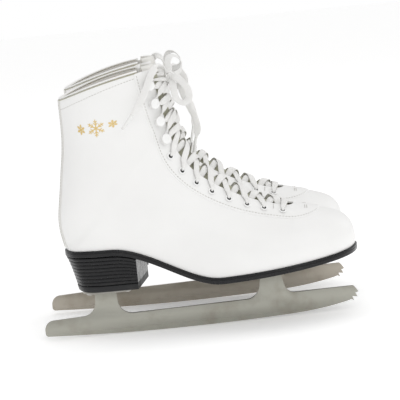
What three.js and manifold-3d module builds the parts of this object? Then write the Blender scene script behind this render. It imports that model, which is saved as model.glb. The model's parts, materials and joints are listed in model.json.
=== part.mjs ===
// A pair of lace-up figure skates: leather boots on blackened soles, each with a steel blade.
// Millimetres, +Z up, toes towards +X. Z = 0 is the ice, Y = 0 lies between the two skates, and
// X = 0 is halfway between the blade's tail and the toe. The right skate is modelled with its outer
// side towards -Y, and the left one is its mirror image.
import * as THREE from "three";
import { mergeVertices } from "three/addons/utils/BufferGeometryUtils.js";
import Module from "manifold-3d";

const wasm = await Module();
wasm.setup();

// ---------- driving dimensions ----------
const SKATE_SPACING = 110; // between the two blades
const CLEARANCE = 0.35; // kept between pieces that touch
const STIFFENER_GAP = 0.65; // on both sides of a stiffener, between leather and lining

// the last, which is the foot shape that the leather is pulled over
const LAST_LENGTH = 266; // heel to toe at the sole's edge
const BALL_WIDTH = 93; // across the sole's edge at the ball
const BOOT_HEIGHT = 192; // from the ball's sole edge up to the front of the collar
const HEEL_RISE = 33.5; // of the heel seat above the ball
const TOE_SPRING = 12.5; // of the toe above the ball
const BACK_HEIGHT = 137; // of the back seam above the heel seat
const TOE_SWING = 5; // of the toe towards the inner side of the foot
const COLLAR_DOME = 3.5; // of the collar's sides above a straight line from front to back

// leather, lining and stiffeners, as thicknesses
const LEATHER = 2;
const STIFFENER = 0.9;
const LINING = 2.2;
const FACING = 1.8;
const STAY = 1;
const BACK_STRAP = 1.1;
const TONGUE = 5.5;
const FOOTBED = 3;
const BOARD = 1.8;
const SHANK = 1.5;

// lacing
const EYELETS = 8; // on each side, below the hooks
const HOOKS = 4; // on each side
const EYELET_PITCH = 16.9;
const TOP_HOOK_DROP = 13; // from the collar's edge to the top hook
const EYELET_BORE = 2.1; // radius
const EYELET_BARREL = 2.9; // radius
const EYELET_FLANGE = 3.9; // radius
const FLANGE_THICKNESS = 0.9;
const HOOK_BASE = 3.4; // radius
const HOOK_NECK = 1.5; // radius
const HOOK_HEAD = 4.9; // radius
const HOOK_REACH = 5.2; // from the facing to the underside of the head
const HOOK_HEAD_THICKNESS = 1.5;
const EYELET_INSET = 10.5; // from the throat's edge to an eyelet's centre
const FACING_WIDTH = 19.5;
const FACING_OVERLAP = 5; // of the facing on the quarter's edge
const LACE_WIDTH = 6.4;
const LACE_BUNCHED = 2.4; // a lace's width where it goes through an eyelet or round a hook
const LACE_THICKNESS = 1.2;
const THROAT_GAP = 19; // half of the opening between the facings, at the ankle

// sole, heel and blade
const PLATE_LEVEL = 43; // the underside of the blade's two plates above the ice
const PLATE_THICKNESS = 2;
const SOLE_THICKNESS = 6;
const SOLE_EDGE = 1.8; // of the sole beyond the upper
const HEEL_TAPER = 9; // the heel's back edge moves forward this much from top to bottom
const HEEL_LENGTH = 54; // of its foot, along the outer side
const HEEL_SLANT = 9; // the inner side reaches this much further forward
const BLADE_THICKNESS = 3.8;
const BLADE_TAIL = 28; // beyond the heel seat
const RUNNER_HEIGHT = 18;
const ROCKER_RADIUS = 2200;
const SPIN_RADIUS = 330; // of the runner's last stretch under the toe
const SPIN_START = 62; // from the toe back to where that stretch starts
const STANCHION_WIDTH = 19;
const STANCHION_FILLET = 13;
const TAIL_RADIUS = 14;
const HEEL_PLATE = { length: 48, width: 44 };
const SOLE_PLATE = { length: 112, width: 54 };
const SCREW_HEAD = 3.6; // radius
const SCREW_SHANK = 1.7; // radius
const SCREW_LENGTH = 12;
const SCREW_HEAD_HEIGHT = 1.4;

// ---------- the last ----------
// Stations run from the toe over the instep to the collar. The ridge is the last's centreline on top,
// and the edge is where the side meets the sole and, behind the heel, the back seam.
// x is a share of LAST_LENGTH, rise of BOOT_HEIGHT, half and girth of BALL_WIDTH / 2, seam of
// BACK_HEIGHT. A crown under 1 makes the top flatter than an ellipse, and over 1 sharper.
const STATIONS = [
  { ridgeX: 1.0, rise: 0.0, edgeX: 1.0, half: 0.0, seam: 0, girth: 0.0, crown: 0.85 },
  { ridgeX: 1.001, rise: 0.05, edgeX: 0.985, half: 0.345, seam: 0, girth: 0.355, crown: 0.85 },
  { ridgeX: 0.99, rise: 0.112, edgeX: 0.953, half: 0.592, seam: 0, girth: 0.612, crown: 0.85 },
  { ridgeX: 0.954, rise: 0.164, edgeX: 0.901, half: 0.785, seam: 0, girth: 0.812, crown: 0.9 },
  { ridgeX: 0.872, rise: 0.214, edgeX: 0.811, half: 0.942, seam: 0, girth: 0.975, crown: 1.0 },
  { ridgeX: 0.762, rise: 0.266, edgeX: 0.698, half: 1.0, seam: 0, girth: 1.036, crown: 1.25 },
  { ridgeX: 0.653, rise: 0.338, edgeX: 0.57, half: 0.946, seam: 0, girth: 0.996, crown: 1.35 },
  { ridgeX: 0.556, rise: 0.43, edgeX: 0.458, half: 0.824, seam: 0, girth: 0.903, crown: 1.35 },
  { ridgeX: 0.485, rise: 0.52, edgeX: 0.345, half: 0.688, seam: 0, girth: 0.813, crown: 1.25 },
  { ridgeX: 0.444, rise: 0.6, edgeX: 0.233, half: 0.641, seam: 0, girth: 0.77, crown: 1.12 },
  { ridgeX: 0.424, rise: 0.67, edgeX: 0.128, half: 0.62, seam: 0, girth: 0.744, crown: 1.03 },
  { ridgeX: 0.414, rise: 0.728, edgeX: 0.045, half: 0.487, seam: 0, girth: 0.731, crown: 1.0 },
  { ridgeX: 0.408, rise: 0.765, edgeX: 0.012, half: 0.275, seam: 0, girth: 0.727, crown: 1.0 },
  { ridgeX: 0.404, rise: 0.79, edgeX: 0.0, half: 0.0, seam: 0, girth: 0.725, crown: 1.0 },
  { ridgeX: 0.398, rise: 0.828, edgeX: -0.014, half: 0.0, seam: 0.18, girth: 0.728, crown: 1.0 },
  { ridgeX: 0.389, rise: 0.88, edgeX: 0.004, half: 0.0, seam: 0.43, girth: 0.74, crown: 1.0 },
  { ridgeX: 0.379, rise: 0.938, edgeX: 0.026, half: 0.0, seam: 0.72, girth: 0.755, crown: 1.0 },
  { ridgeX: 0.37, rise: 1.0, edgeX: 0.028, half: 0.0, seam: 1.0, girth: 0.765, crown: 1.0 },
];
const COLLAR = STATIONS.length - 1; // the collar's station
const HEEL_BACK = 13; // the station where the sole's edge turns into the back seam
const THROAT_FOOT = 4.7; // the station of the throat's lower end
const FULLNESS = 0.85; // under 1, the sides run fuller into the sole and the back seam
const SEAT_FRONT = 0.15; // share of LAST_LENGTH where the heel seat starts to fall
const ARCH_FRONT = 0.526; // share of LAST_LENGTH where the arch has come down to the ball
const SPRING_START = 0.49; // share of LAST_LENGTH where the sole starts to rise to the toe

const BALL_LEVEL = PLATE_LEVEL + PLATE_THICKNESS + SOLE_THICKNESS; // the sole's edge at the ball
const HEEL_X = (BLADE_TAIL - LAST_LENGTH - SOLE_EDGE) / 2; // the heel's place along X
const SEAT_LEVEL = BALL_LEVEL + HEEL_RISE;

const clamp = THREE.MathUtils.clamp;
const smooth = (t) => THREE.MathUtils.smoothstep(t, 0, 1);

// Height of the sole's edge at x, a share of LAST_LENGTH.
function edgeLevel(x) {
  const heel = smooth((ARCH_FRONT - x) / (ARCH_FRONT - SEAT_FRONT));
  const spring = Math.max(0, (x - SPRING_START) / (1 - SPRING_START)) ** 1.3;
  return BALL_LEVEL + HEEL_RISE * heel + TOE_SPRING * spring;
}

// A value of the stations at station u, by a Catmull-Rom spline. The plan is mirrored past the toe, and
// past the heel too, so that both ends are round.
function station(key, u) {
  const i = clamp(Math.floor(u), 0, COLLAR - 1);
  const mirrored = { edgeX: 1, ridgeX: 1, half: -1, girth: -1, rise: -1 }[key];
  const at = (k) => {
    if (k < 0 && mirrored) return mirrored * STATIONS[-k][key];
    if (k > HEEL_BACK && i < HEEL_BACK && key === "half") return -STATIONS[2 * HEEL_BACK - k][key];
    if (k > HEEL_BACK && i < HEEL_BACK && key === "edgeX") return STATIONS[2 * HEEL_BACK - k][key];
    return STATIONS[clamp(k, 0, COLLAR)][key];
  };
  const [a, b, c, d, t] = [at(i - 1), at(i), at(i + 1), at(i + 2), u - i];
  return b + 0.5 * t * (c - a + t * (2 * a - 5 * b + 4 * c - d + t * (3 * (b - c) + d - a)));
}

// The last's section at station u: its ends on the ridge and on the edge, and its shape.
function section(u) {
  const ridgeX = station("ridgeX", u);
  const edgeX = station("edgeX", u);
  const seam = Math.max(0, station("seam", u));
  const girth = Math.max(1e-9, (station("girth", u) * BALL_WIDTH) / 2);
  const half = u >= HEEL_BACK ? 0 : clamp((station("half", u) * BALL_WIDTH) / 2, 0, girth);
  const foot = edgeLevel(ridgeX) - HEEL_RISE * smooth((ARCH_FRONT - ridgeX) / (ARCH_FRONT - SEAT_FRONT));
  return {
    ridge: new THREE.Vector2(HEEL_X + ridgeX * LAST_LENGTH, foot + station("rise", u) * BOOT_HEIGHT),
    edge: new THREE.Vector2(HEEL_X + edgeX * LAST_LENGTH, edgeLevel(edgeX) + seam * BACK_HEIGHT),
    girth,
    crown: station("crown", u),
    end: Math.PI - Math.asin((half / girth) ** (1 / FULLNESS)),
    dome: COLLAR_DOME * smooth((u - HEEL_BACK) / (COLLAR - HEEL_BACK)),
  };
}

// A point of the last's outer half at station u, with t from 0 on the ridge to 1 on the edge.
function halfPoint(s, t) {
  const folded = t < 0 ? -t : t > 1 && s.end > 3.1 ? 2 - t : t;
  const angle = clamp(folded, 0, 1) * s.end;
  const power = angle < Math.PI / 2 ? s.crown : FULLNESS;
  const y = s.girth * Math.max(0, Math.sin(angle)) ** power;
  const down = (1 - Math.cos(angle)) / (1 - Math.cos(s.end));
  const p = s.ridge.clone().lerp(s.edge, down);
  return new THREE.Vector3(p.x, folded === t ? y : -y, p.y + s.dome * Math.sin(angle) ** 2);
}

// The point at station u and v, which runs from -1 on the outer side's edge over 0 on the ridge to 1
// on the inner side's edge, at a depth under the last's surface. The floor of a layer inside the boot
// lies as deep as its walls.
function onLast(u, v, depth = 0, lift = 0) {
  const t = Math.abs(v);
  const side = v < 0 ? -1 : 1;
  const step = 0.02;
  const here = section(clamp(u, 0.02, COLLAR));
  const p = halfPoint(section(clamp(u, 0, COLLAR)), t);
  const across = halfPoint(here, t + (t > 1 - step && here.end < 3.1 ? 0 : step));
  across.sub(halfPoint(here, t - step));
  const along = halfPoint(section(Math.min(u + 0.05, COLLAR)), t);
  along.sub(halfPoint(section(Math.max(u - 0.05, 0)), t));
  const normal = across.cross(along).normalize();
  if (u < 0.01) normal.set(1, 0, 0);
  p.addScaledVector(normal, -depth);
  const sunk = depth > 0 ? edgeLevel((p.x - HEEL_X) / LAST_LENGTH) + depth + lift - p.z : 0;
  if (sunk > 0) p.add(new THREE.Vector3(-0.2 * normal.x, -0.2 * normal.y, 1).multiplyScalar(sunk));
  const toe = clamp((p.x - HEEL_X) / LAST_LENGTH, 0, 1.2);
  const swing = TOE_SWING * Math.max(0, (toe - 0.55) / 0.45) ** 2;
  return new THREE.Vector3(p.x, side * p.y + swing, p.z);
}

// The outward normal of the last there.
const normalOn = (u, v) => onLast(u, v, -1).sub(onLast(u, v, -0)).normalize();

// The v of a point on the inner side at a distance over the surface from the ridge.
function vAt(u, distance) {
  const steps = 80;
  let gone = 0;
  let last = onLast(u, 0);
  for (let i = 1; i <= steps; i++) {
    const next = onLast(u, i / steps);
    const length = next.distanceTo(last);
    if (gone + length >= distance) return (i - 1 + (distance - gone) / length) / steps;
    gone += length;
    last = next;
  }
  return 1;
}

// Half of the throat's opening, from the ridge to the facing's edge.
const throatHalf = (u) => THROAT_GAP * (0.6 + 0.4 * smooth((u - THROAT_FOOT) / 4.5));
const eyeletV = (u) => vAt(u, throatHalf(u) + EYELET_INSET);

// Stations of the eyelets and hooks, from the top hook down, EYELET_PITCH apart.
function lacingStations() {
  const steps = 400;
  const found = [];
  let [gone, wanted] = [0, TOP_HOOK_DROP];
  let last = onLast(COLLAR, eyeletV(COLLAR));
  for (let i = 1; i <= steps && found.length < EYELETS + HOOKS; i++) {
    const u = COLLAR + (i / steps) * (THROAT_FOOT - COLLAR);
    const next = onLast(u, eyeletV(u));
    gone += next.distanceTo(last);
    last = next;
    if (gone >= wanted) {
      found.push(u);
      wanted += EYELET_PITCH;
    }
  }
  return found.reverse();
}
const LACING = lacingStations();

// ---------- making solids ----------
// A geometry from the faces of a closed solid, each a list of points all turning the same way round.
// Equal points are merged, faces without area are left out, and the solid is turned to face out.
function geometryOf(faces) {
  const equal = (p, q) => p.distanceToSquared(q) < 1e-8;
  const triangles = faces
    .flatMap((face) => face.slice(2).map((p, i) => [face[0], face[i + 1], p]))
    .filter(([a, b, c]) => !equal(a, b) && !equal(b, c) && !equal(a, c));
  const volume = triangles.reduce((sum, [a, b, c]) => sum + a.dot(b.clone().cross(c)), 0);
  const turned = volume < 0 ? triangles.map(([a, b, c]) => [a, c, b]) : triangles;
  const positions = turned.flat().flatMap((p) => [p.x, p.y, p.z]);
  const geometry = new THREE.BufferGeometry();
  geometry.setAttribute("position", new THREE.Float32BufferAttribute(positions, 3));
  return mergeVertices(geometry, 1e-4);
}

// A closed solid between two grids of points with the same rows and columns. A border whose points
// meet the opposite border, or come together in one point, is left open, because the skin closes there.
function between(outer, inner) {
  const faces = [];
  const rows = outer.length - 1;
  const columns = outer[0].length - 1;
  const meets = (p, q) => p.distanceToSquared(q) < 1e-8;
  const wall = (a, b, c, d) => faces.push([a, b, c, d]);
  for (let i = 0; i < rows; i++) {
    for (let j = 0; j < columns; j++) {
      faces.push([outer[i][j], outer[i + 1][j], outer[i + 1][j + 1], outer[i][j + 1]]);
      faces.push([inner[i][j], inner[i][j + 1], inner[i + 1][j + 1], inner[i + 1][j]]);
    }
    const first = meets(outer[i][0], outer[i][columns]) && meets(outer[i + 1][0], outer[i + 1][columns]);
    if (!first) {
      wall(outer[i][0], inner[i][0], inner[i + 1][0], outer[i + 1][0]);
      wall(outer[i][columns], outer[i + 1][columns], inner[i + 1][columns], inner[i][columns]);
    }
  }
  for (const [i, turned] of [[0, false], [rows, true]]) {
    if (outer[i].every((p) => meets(p, outer[i][0]))) continue;
    for (let j = 0; j < columns; j++) {
      const face = [outer[i][j], outer[i][j + 1], inner[i][j + 1], inner[i][j]];
      wall(...(turned ? face.reverse() : face));
    }
  }
  return geometryOf(faces);
}

// A layer of the boot over stations us, with columnsOf(u) giving the v of each column, between two depths.
function layer(us, columnsOf, outerDepth, innerDepth, lift = 0) {
  const depthOf = (depth, u, v) => (typeof depth === "function" ? depth(u, v) : depth);
  const grid = (depth) => us.map((u) => columnsOf(u).map((v) => onLast(u, v, depthOf(depth, u, v), lift)));
  return between(grid(outerDepth), grid(innerDepth));
}

const steps = (from, to, count) => Array.from({ length: count + 1 }, (_, i) => from + ((to - from) * i) / count);

function manifoldOf(geometry) {
  const bare = geometry.index ? geometry.toNonIndexed() : geometry.clone();
  bare.deleteAttribute("normal");
  bare.deleteAttribute("uv");
  const merged = mergeVertices(bare, 1e-4);
  return new wasm.Manifold(
    new wasm.Mesh({
      numProp: 3,
      vertProperties: merged.attributes.position.array,
      triVerts: new Uint32Array(merged.index.array),
    }),
  );
}

function geometryFrom(solid) {
  const mesh = solid.getMesh();
  const geometry = new THREE.BufferGeometry();
  geometry.setAttribute("position", new THREE.BufferAttribute(new Float32Array(mesh.vertProperties), 3));
  geometry.setIndex(new THREE.BufferAttribute(new Uint32Array(mesh.triVerts), 1));
  return geometry;
}

// The first geometry with the others joined to it.
const joined = (first, ...rest) => geometryFrom(rest.reduce((a, g) => a.add(manifoldOf(g)), manifoldOf(first)));
// The geometry with the others cut out of it.
const cut = (geometry, ...tools) => geometryFrom(tools.reduce((a, g) => a.subtract(manifoldOf(g)), manifoldOf(geometry)));

// A cylinder or cone from one point towards a direction.
function rod(from, direction, length, radius, sides = 8, tipRadius = radius) {
  const geometry = new THREE.CylinderGeometry(tipRadius, radius, length, sides);
  const turn = new THREE.Quaternion().setFromUnitVectors(new THREE.Vector3(0, 1, 0), direction.clone().normalize());
  geometry.translate(0, length / 2, 0).applyQuaternion(turn);
  return geometry.translate(from.x, from.y, from.z);
}

// ---------- the boot's leather ----------
const QUARTER_EDGE = FACING_WIDTH - FACING_OVERLAP; // from the throat's edge to the quarter's own edge

// How far from the ridge the quarters start at station u: they meet on it below the throat.
const quarterHalf = (u) => (u < THROAT_FOOT + 1e-6 ? 0 : throatHalf(u) + QUARTER_EDGE);

// All layers of the boot share these stations and columns, so that their facets lie over each other.
const VAMP_EDGE = 0.34; // where the quarters' columns start on the closed vamp
const TOE_ROWS = [0, 0.3, 0.8, 1.4, 2.1, 2.9, 3.8, THROAT_FOOT];
const THROAT_ROWS = [THROAT_FOOT + 0.12, ...steps(THROAT_FOOT + 0.12, 10.8, 8).slice(1)];
const BOOT_ROWS = [...TOE_ROWS, ...THROAT_ROWS, 11.6, 12.2, 12.7, HEEL_BACK, 13.6, 14.6, 15.8, COLLAR];
const SIDE_COLUMNS = 5;

// Columns from the outer side down under the foot and up the inner side. Each side's first two run along
// the quarter's edge, and the first one moves to the ridge where the quarters meet. The from is how many
// of them are left out above.
function roundBoot(from = 0) {
  return (u) => {
    const open = quarterHalf(u) > 0;
    const edge = open ? vAt(u, quarterHalf(u)) : VAMP_EDGE;
    const outer = [open ? -edge : 0, ...steps(-edge, -1, SIDE_COLUMNS)].slice(from);
    return [...outer, ...outer.map((v) => -v).reverse()];
  };
}

const rowsBetween = (low, high) => BOOT_ROWS.filter((u) => u >= low && u <= high);
const upper = () => layer(BOOT_ROWS, roundBoot(), 0, LEATHER);

// The leather lining inside it, which lies over the stiffeners and the insole board.
const LINING_DEPTH = LEATHER + STIFFENER + 2 * STIFFENER_GAP;
const LINING_LIFT = BOARD + CLEARANCE;
const LINING_DROP = 0.12; // in stations, of its edge below the collar

function lining() {
  const rows = [...BOOT_ROWS.slice(0, -1), COLLAR - LINING_DROP].filter((u) => u !== 0.3);
  return layer(rows, roundBoot(), LINING_DEPTH, LINING_DEPTH + LINING, LINING_LIFT);
}

// The stiff cup round the heel, between the leather and the lining.
const STIFFENER_DEPTH = LEATHER + STIFFENER_GAP;
function heelCounter() {
  const columns = roundBoot(3);
  const outerSide = (u) => columns(u).slice(0, 3);
  const innerSide = (u) => columns(u).slice(-3);
  const piece = (rows, at) => layer(rows, at, STIFFENER_DEPTH, STIFFENER_DEPTH + STIFFENER);
  const wings = [outerSide, innerSide].map((at) => piece(rowsBetween(9, 14.7).filter((u) => u !== HEEL_BACK), at));
  return joined(piece(rowsBetween(13.5, 14.7), columns), ...wings);
}

// The stiff cap over the toes, between the leather and the lining.
function toePuff() {
  const half = steps(VAMP_EDGE, 1, SIDE_COLUMNS).slice(0, -1);
  const columns = [...half.map((v) => -v).reverse(), 0, ...half];
  return layer(TOE_ROWS.slice(0, -2), () => columns, STIFFENER_DEPTH, STIFFENER_DEPTH + STIFFENER);
}

// One facing, which carries the eyelets and hooks: side is -1 for the outer and 1 for the inner side.
const facingRows = BOOT_ROWS.filter((u) => u > THROAT_FOOT && u !== 12.2 && u !== 12.7);
const facingTop = FACING + CLEARANCE; // how far the facing stands proud of the last
const FLANGE_GAP = 0.65; // under the flange of an eyelet or hook

function facing(side) {
  const columns = (u) => {
    const from = throatHalf(u);
    return [0, QUARTER_EDGE / 2, QUARTER_EDGE, FACING_WIDTH].map((d) => side * vAt(u, from + d));
  };
  const panel = layer(facingRows, columns, -facingTop, -CLEARANCE);
  const holes = LACING.slice(0, EYELETS).map((u) => {
    const v = side * eyeletV(u);
    return rod(onLast(u, v, 4), normalOn(u, v), 10, EYELET_BARREL + CLEARANCE, 6);
  });
  const rivets = LACING.slice(EYELETS).map((u) => {
    const v = side * eyeletV(u);
    return rod(onLast(u, v, 4), normalOn(u, v), 10, HOOK_NECK + CLEARANCE, 5);
  });
  return cut(panel, ...holes, ...rivets);
}

// The eyelets and hooks of one side on the stay that backs them under the facing.
function eyeletRow(side) {
  const from = EYELET_INSET - EYELET_BARREL - 0.6;
  const width = 2 * (EYELET_BARREL + 0.6);
  const columns = (u) => {
    return [0, width].map((d) => side * vAt(u, throatHalf(u) + from + d));
  };
  const [first, last] = [LACING[0] - 0.2, Math.min(LACING.at(-1) + 0.3, COLLAR)];
  const rows = [first, ...facingRows.filter((u) => u > first + 0.2 && u < last - 0.2), last];
  const stay = layer(rows, columns, 0, STAY);
  const add = [];
  const bores = [];
  LACING.forEach((u, i) => {
    const v = side * eyeletV(u);
    const normal = normalOn(u, v);
    const top = onLast(u, v, -facingTop - FLANGE_GAP);
    if (i < EYELETS) {
      add.push(rod(onLast(u, v, STAY / 2), normal, STAY / 2 + facingTop + FLANGE_GAP + 0.1, EYELET_BARREL, 6));
      add.push(rod(top, normal, FLANGE_THICKNESS, EYELET_FLANGE, 6));
      bores.push(rod(onLast(u, v, 4), normal, 12, EYELET_BORE, 6));
    } else {
      add.push(rod(onLast(u, v, STAY / 2), normal, STAY / 2 + facingTop + HOOK_REACH + 0.5, HOOK_NECK, 5));
      add.push(rod(top, normal, FLANGE_THICKNESS, HOOK_BASE, 5));
      const head = onLast(u, v, -facingTop - HOOK_REACH);
      add.push(rod(head, normal, HOOK_HEAD_THICKNESS, HOOK_HEAD, 7, HOOK_HEAD * 0.6));
    }
  });
  return geometryFrom(manifoldOf(cut(joined(stay, ...add), ...bores)).simplify(0.03));
}

// The strap over the back seam.
function backStrap() {
  const half = 0.085;
  const rows = [HEEL_BACK + 0.12, ...rowsBetween(HEEL_BACK + 0.2, COLLAR)];
  const columns = () => [-1 + half, -1, 1, 1 - half];
  return layer(rows, columns, -BACK_STRAP - CLEARANCE, -CLEARANCE);
}

// The rolled edge on top of the collar, from one facing round the back to the other.
function collarBinding() {
  const lift = new THREE.Vector3(0, 0, CLEARANCE);
  const rise = new THREE.Vector3(0, 0, 2.4);
  const edge = vAt(COLLAR, quarterHalf(COLLAR) + 1);
  const half = steps(-edge, -1, 6);
  const vs = [...half, ...half.slice(0, -1).map((v) => -v).reverse()];
  const [out, into] = [-0.6, LINING_DEPTH - CLEARANCE];
  const ring = (depth, height, inset) => vs.map((v) => onLast(COLLAR, v, depth + inset).add(lift).addScaledVector(rise, height));
  const outer = [ring(out, 0, 0), ring(out, 0.7, 0), ring(out, 1, 0.9), ring(into, 1, -0.9), ring(into, 0.7, 0), ring(into, 0, 0)];
  const faces = [];
  for (let i = 0; i < outer.length; i++) {
    const [a, b] = [outer[i], outer[(i + 1) % outer.length]];
    for (let j = 0; j + 1 < a.length; j++) faces.push([a[j], a[j + 1], b[j + 1], b[j]]);
  }
  faces.push(outer.map((ring) => ring[0]));
  faces.push(outer.map((ring) => ring.at(-1)).reverse());
  return geometryOf(faces);
}

// The padded tongue under the throat, with its middle crowned up between the facings.
const TONGUE_DEPTH = 4.1; // of its upper face under the last, at its edges
const TONGUE_CROWN = 3; // of its middle above that
const TONGUE_RISE = 4; // above the collar
const TONGUE_ROOT = THROAT_FOOT + 0.16;

function tongue() {
  const half = (u) => throatHalf(u) + 3 + 3 * smooth((u - TONGUE_ROOT) / 4);
  const columns = (u) => {
    const edge = vAt(u, half(u));
    return steps(-edge, edge, 4);
  };
  const top = (u, v) => TONGUE_DEPTH - TONGUE_CROWN * (1 - Math.min(1, Math.abs(v) / vAt(u, half(u))) ** 2);
  const bottom = (u, v) => top(u, v) + TONGUE * (1 - 0.45 * (Math.abs(v) / vAt(u, half(u))) ** 2);
  const rows = [TONGUE_ROOT, 5.9, 6.9, 8, 9.2, 10.6, 12.2, 14, 15.6, COLLAR];
  const rise = new THREE.Vector3(-0.2, 0, 1).normalize();
  const grid = (depth) => {
    const points = rows.map((u) => columns(u).map((v) => onLast(u, v, depth(u, v))));
    const last = points.at(-1).map((p) => p.clone().addScaledVector(rise, TONGUE_RISE));
    return [...points, last];
  };
  return between(grid(top), grid(bottom));
}

// ---------- sole and heel ----------
const levelAt = (x) => edgeLevel((x - HEEL_X) / LAST_LENGTH);
const soleUnder = (x) => levelAt(x) - SOLE_THICKNESS;

// A point of the sole's outline at station u, set outwards by extra. side is -1 outer, 1 inner.
function outline(u, side, extra) {
  const p = onLast(u, side);
  const a = onLast(Math.max(u - 0.05, 0), 1);
  const b = onLast(Math.min(u + 0.05, HEEL_BACK), 1);
  const along = new THREE.Vector2(b.x - a.x, b.y - a.y);
  if (u < 0.05) along.set(0, 1);
  if (u > HEEL_BACK - 0.05) along.set(0, -1);
  along.normalize();
  return new THREE.Vector2(p.x + along.y * extra, p.y - side * along.x * extra);
}

// The station whose outline lies at x.
function stationAt(x) {
  let [low, high] = [0, HEEL_BACK];
  for (let i = 0; i < 30; i++) {
    const middle = (low + high) / 2;
    if (onLast(middle, 1).x > x) low = middle;
    else high = middle;
  }
  return low;
}

// A flat piece whose rows are pairs of plan points, outer side first, between two heights over x.
function slab(rows, topAt, bottomAt) {
  const place = (p, heightAt) => new THREE.Vector3(p.x, p.y, heightAt(p.x));
  const grid = (heightAt) => rows.map((row) => row.map((p) => place(p, heightAt)));
  return between(grid(topAt), grid(bottomAt));
}

// Rows of a slab inside the boot, with a margin round it to the layer at that depth.
function footRows(depth, margin) {
  const edge = (u, side) => {
    const p = onLast(u, side, depth);
    return new THREE.Vector2(p.x, p.y - side * margin);
  };
  return rowsBetween(0.3, 12.4).map((u) => [edge(u, -1), edge(u, 1)]);
}

// A strip along X from the x of one end to the other, with rounded ends.
function stripRows(from, to, half, count = 6) {
  const radius = Math.min(half * 0.7, (to - from) / 4);
  const corners = [0, 0.3, 1].map((t) => [radius * t, half - radius * (1 - Math.sqrt(1 - (1 - t) ** 2))]);
  const front = corners.map(([d, w]) => [from + d, w]);
  const middle = steps(from + radius, to - radius, count).slice(1, -1).map((x) => [x, half]);
  const back = corners.map(([d, w]) => [to - d, w]).reverse();
  const rows = [...front, ...middle, ...back];
  return rows.reverse().map(([x, w]) => [new THREE.Vector2(x, -w), new THREE.Vector2(x, w)]);
}

const SHANK_ENDS = [HEEL_X + 0.17 * LAST_LENGTH, HEEL_X + 0.6 * LAST_LENGTH];
const SHANK_HALF = 7;

function outsole() {
  const rows = rowsBetween(0, HEEL_BACK).map((u) => [outline(u, -1, SOLE_EDGE), outline(u, 1, SOLE_EDGE)]);
  const body = slab(rows, (x) => levelAt(x) - CLEARANCE, soleUnder);
  const [from, to] = SHANK_ENDS;
  const slot = stripRows(from - CLEARANCE, to + CLEARANCE, SHANK_HALF + CLEARANCE, 10);
  const groove = slab(slot, (x) => levelAt(x) + 2, (x) => levelAt(x) - SHANK - 3 * CLEARANCE);
  return cut(body, groove, ...plateScrews(solePlateScrews, CLEARANCE, true));
}

const shank = () => {
  const top = (x) => levelAt(x) - 2 * CLEARANCE;
  return slab(stripRows(...SHANK_ENDS, SHANK_HALF, 10), top, (x) => top(x) - SHANK);
};

function insoleBoard() {
  const under = (x) => levelAt(x) + LINING_DEPTH;
  return slab(footRows(LINING_DEPTH, 1.6), (x) => under(x) + BOARD, under);
}

function footbed() {
  const under = (x) => levelAt(x) + LINING_DEPTH + LINING + LINING_LIFT + CLEARANCE;
  return slab(footRows(LINING_DEPTH + LINING, 2.8), (x) => under(x) + FOOTBED, under);
}

const LIFT_THICKNESS = 5.5;
const HEEL_RIDGES = 8;
const RIDGE_DEPTH = 0.7;
const LIFT_UNDER = PLATE_LEVEL + PLATE_THICKNESS + CLEARANCE;
const BLOCK_UNDER = LIFT_UNDER + LIFT_THICKNESS + CLEARANCE;

// The heel's outline at a height, as points from the outer breast corner round the back to the inner one.
function heelRing(heightAt, inset) {
  const breast = HEEL_X + HEEL_TAPER + HEEL_LENGTH;
  const side = (sign, front) => {
    const from = stationAt(front);
    const us = [0, 0.35, 0.62, 0.82, 0.94].map((t) => from + t * (HEEL_BACK - from));
    return us.map((u) => [outline(u, sign, SOLE_EDGE - inset), u, from]);
  };
  const points = [...side(-1, breast), [outline(HEEL_BACK, 1, SOLE_EDGE - inset), HEEL_BACK, 0]];
  points.push(...side(1, breast + HEEL_SLANT).reverse());
  const middle = HEEL_X + HEEL_LENGTH / 2;
  return points.map(([p]) => {
    const top = soleUnder(p.x) - 2 * CLEARANCE;
    const z = heightAt(top);
    const sunk = clamp((top - z) / (top - LIFT_UNDER), 0, 1) ** 0.75;
    const back = clamp((middle - p.x) / (middle - HEEL_X), 0, 1);
    return new THREE.Vector3(p.x + HEEL_TAPER * sunk * back, p.y * (1 - 0.13 * sunk), z);
  });
}

function heelBody(rings) {
  const faces = [];
  for (let k = 0; k + 1 < rings.length; k++) {
    const [a, b] = [rings[k], rings[k + 1]];
    a.forEach((p, i) => faces.push([p, b[i], b[(i + 1) % a.length], a[(i + 1) % a.length]]));
  }
  const cap = (ring, turned) => {
    const n = ring.length - 1;
    for (let i = 0; i < n - i; i++) {
      const face = [ring[i], ring[i + 1], ring[n - i - 1], ring[n - i]];
      faces.push(turned ? face.reverse() : face);
    }
  };
  cap(rings[0], false);
  cap(rings.at(-1), true);
  return geometryOf(faces);
}

function heelBlock() {
  const rings = [];
  const count = 2 * HEEL_RIDGES;
  for (let k = 0; k <= count; k++) {
    const t = k / count;
    rings.push(heelRing((top) => BLOCK_UNDER + (top - BLOCK_UNDER) * (1 - t), k % 2 ? 0.4 + RIDGE_DEPTH : 0.4));
  }
  return cut(heelBody(rings), ...plateScrews(heelPlateScrews, CLEARANCE, true));
}

function topLift() {
  const rings = [LIFT_UNDER + LIFT_THICKNESS, LIFT_UNDER].map((z) => heelRing(() => z, 0.2));
  return cut(heelBody(rings), ...plateScrews(heelPlateScrews, CLEARANCE, true));
}

// ---------- blade ----------
const TAIL_X = HEEL_X - BLADE_TAIL;
const TOE_X = HEEL_X + LAST_LENGTH;
const HEEL_STANCHION_X = HEEL_X + 31;
const TOE_STANCHION_X = TOE_X - 81.5;
const ROCKER_X = HEEL_X + 97; // where the runner rests on flat ice
const SPIN_X = TOE_X - SPIN_START;

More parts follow.
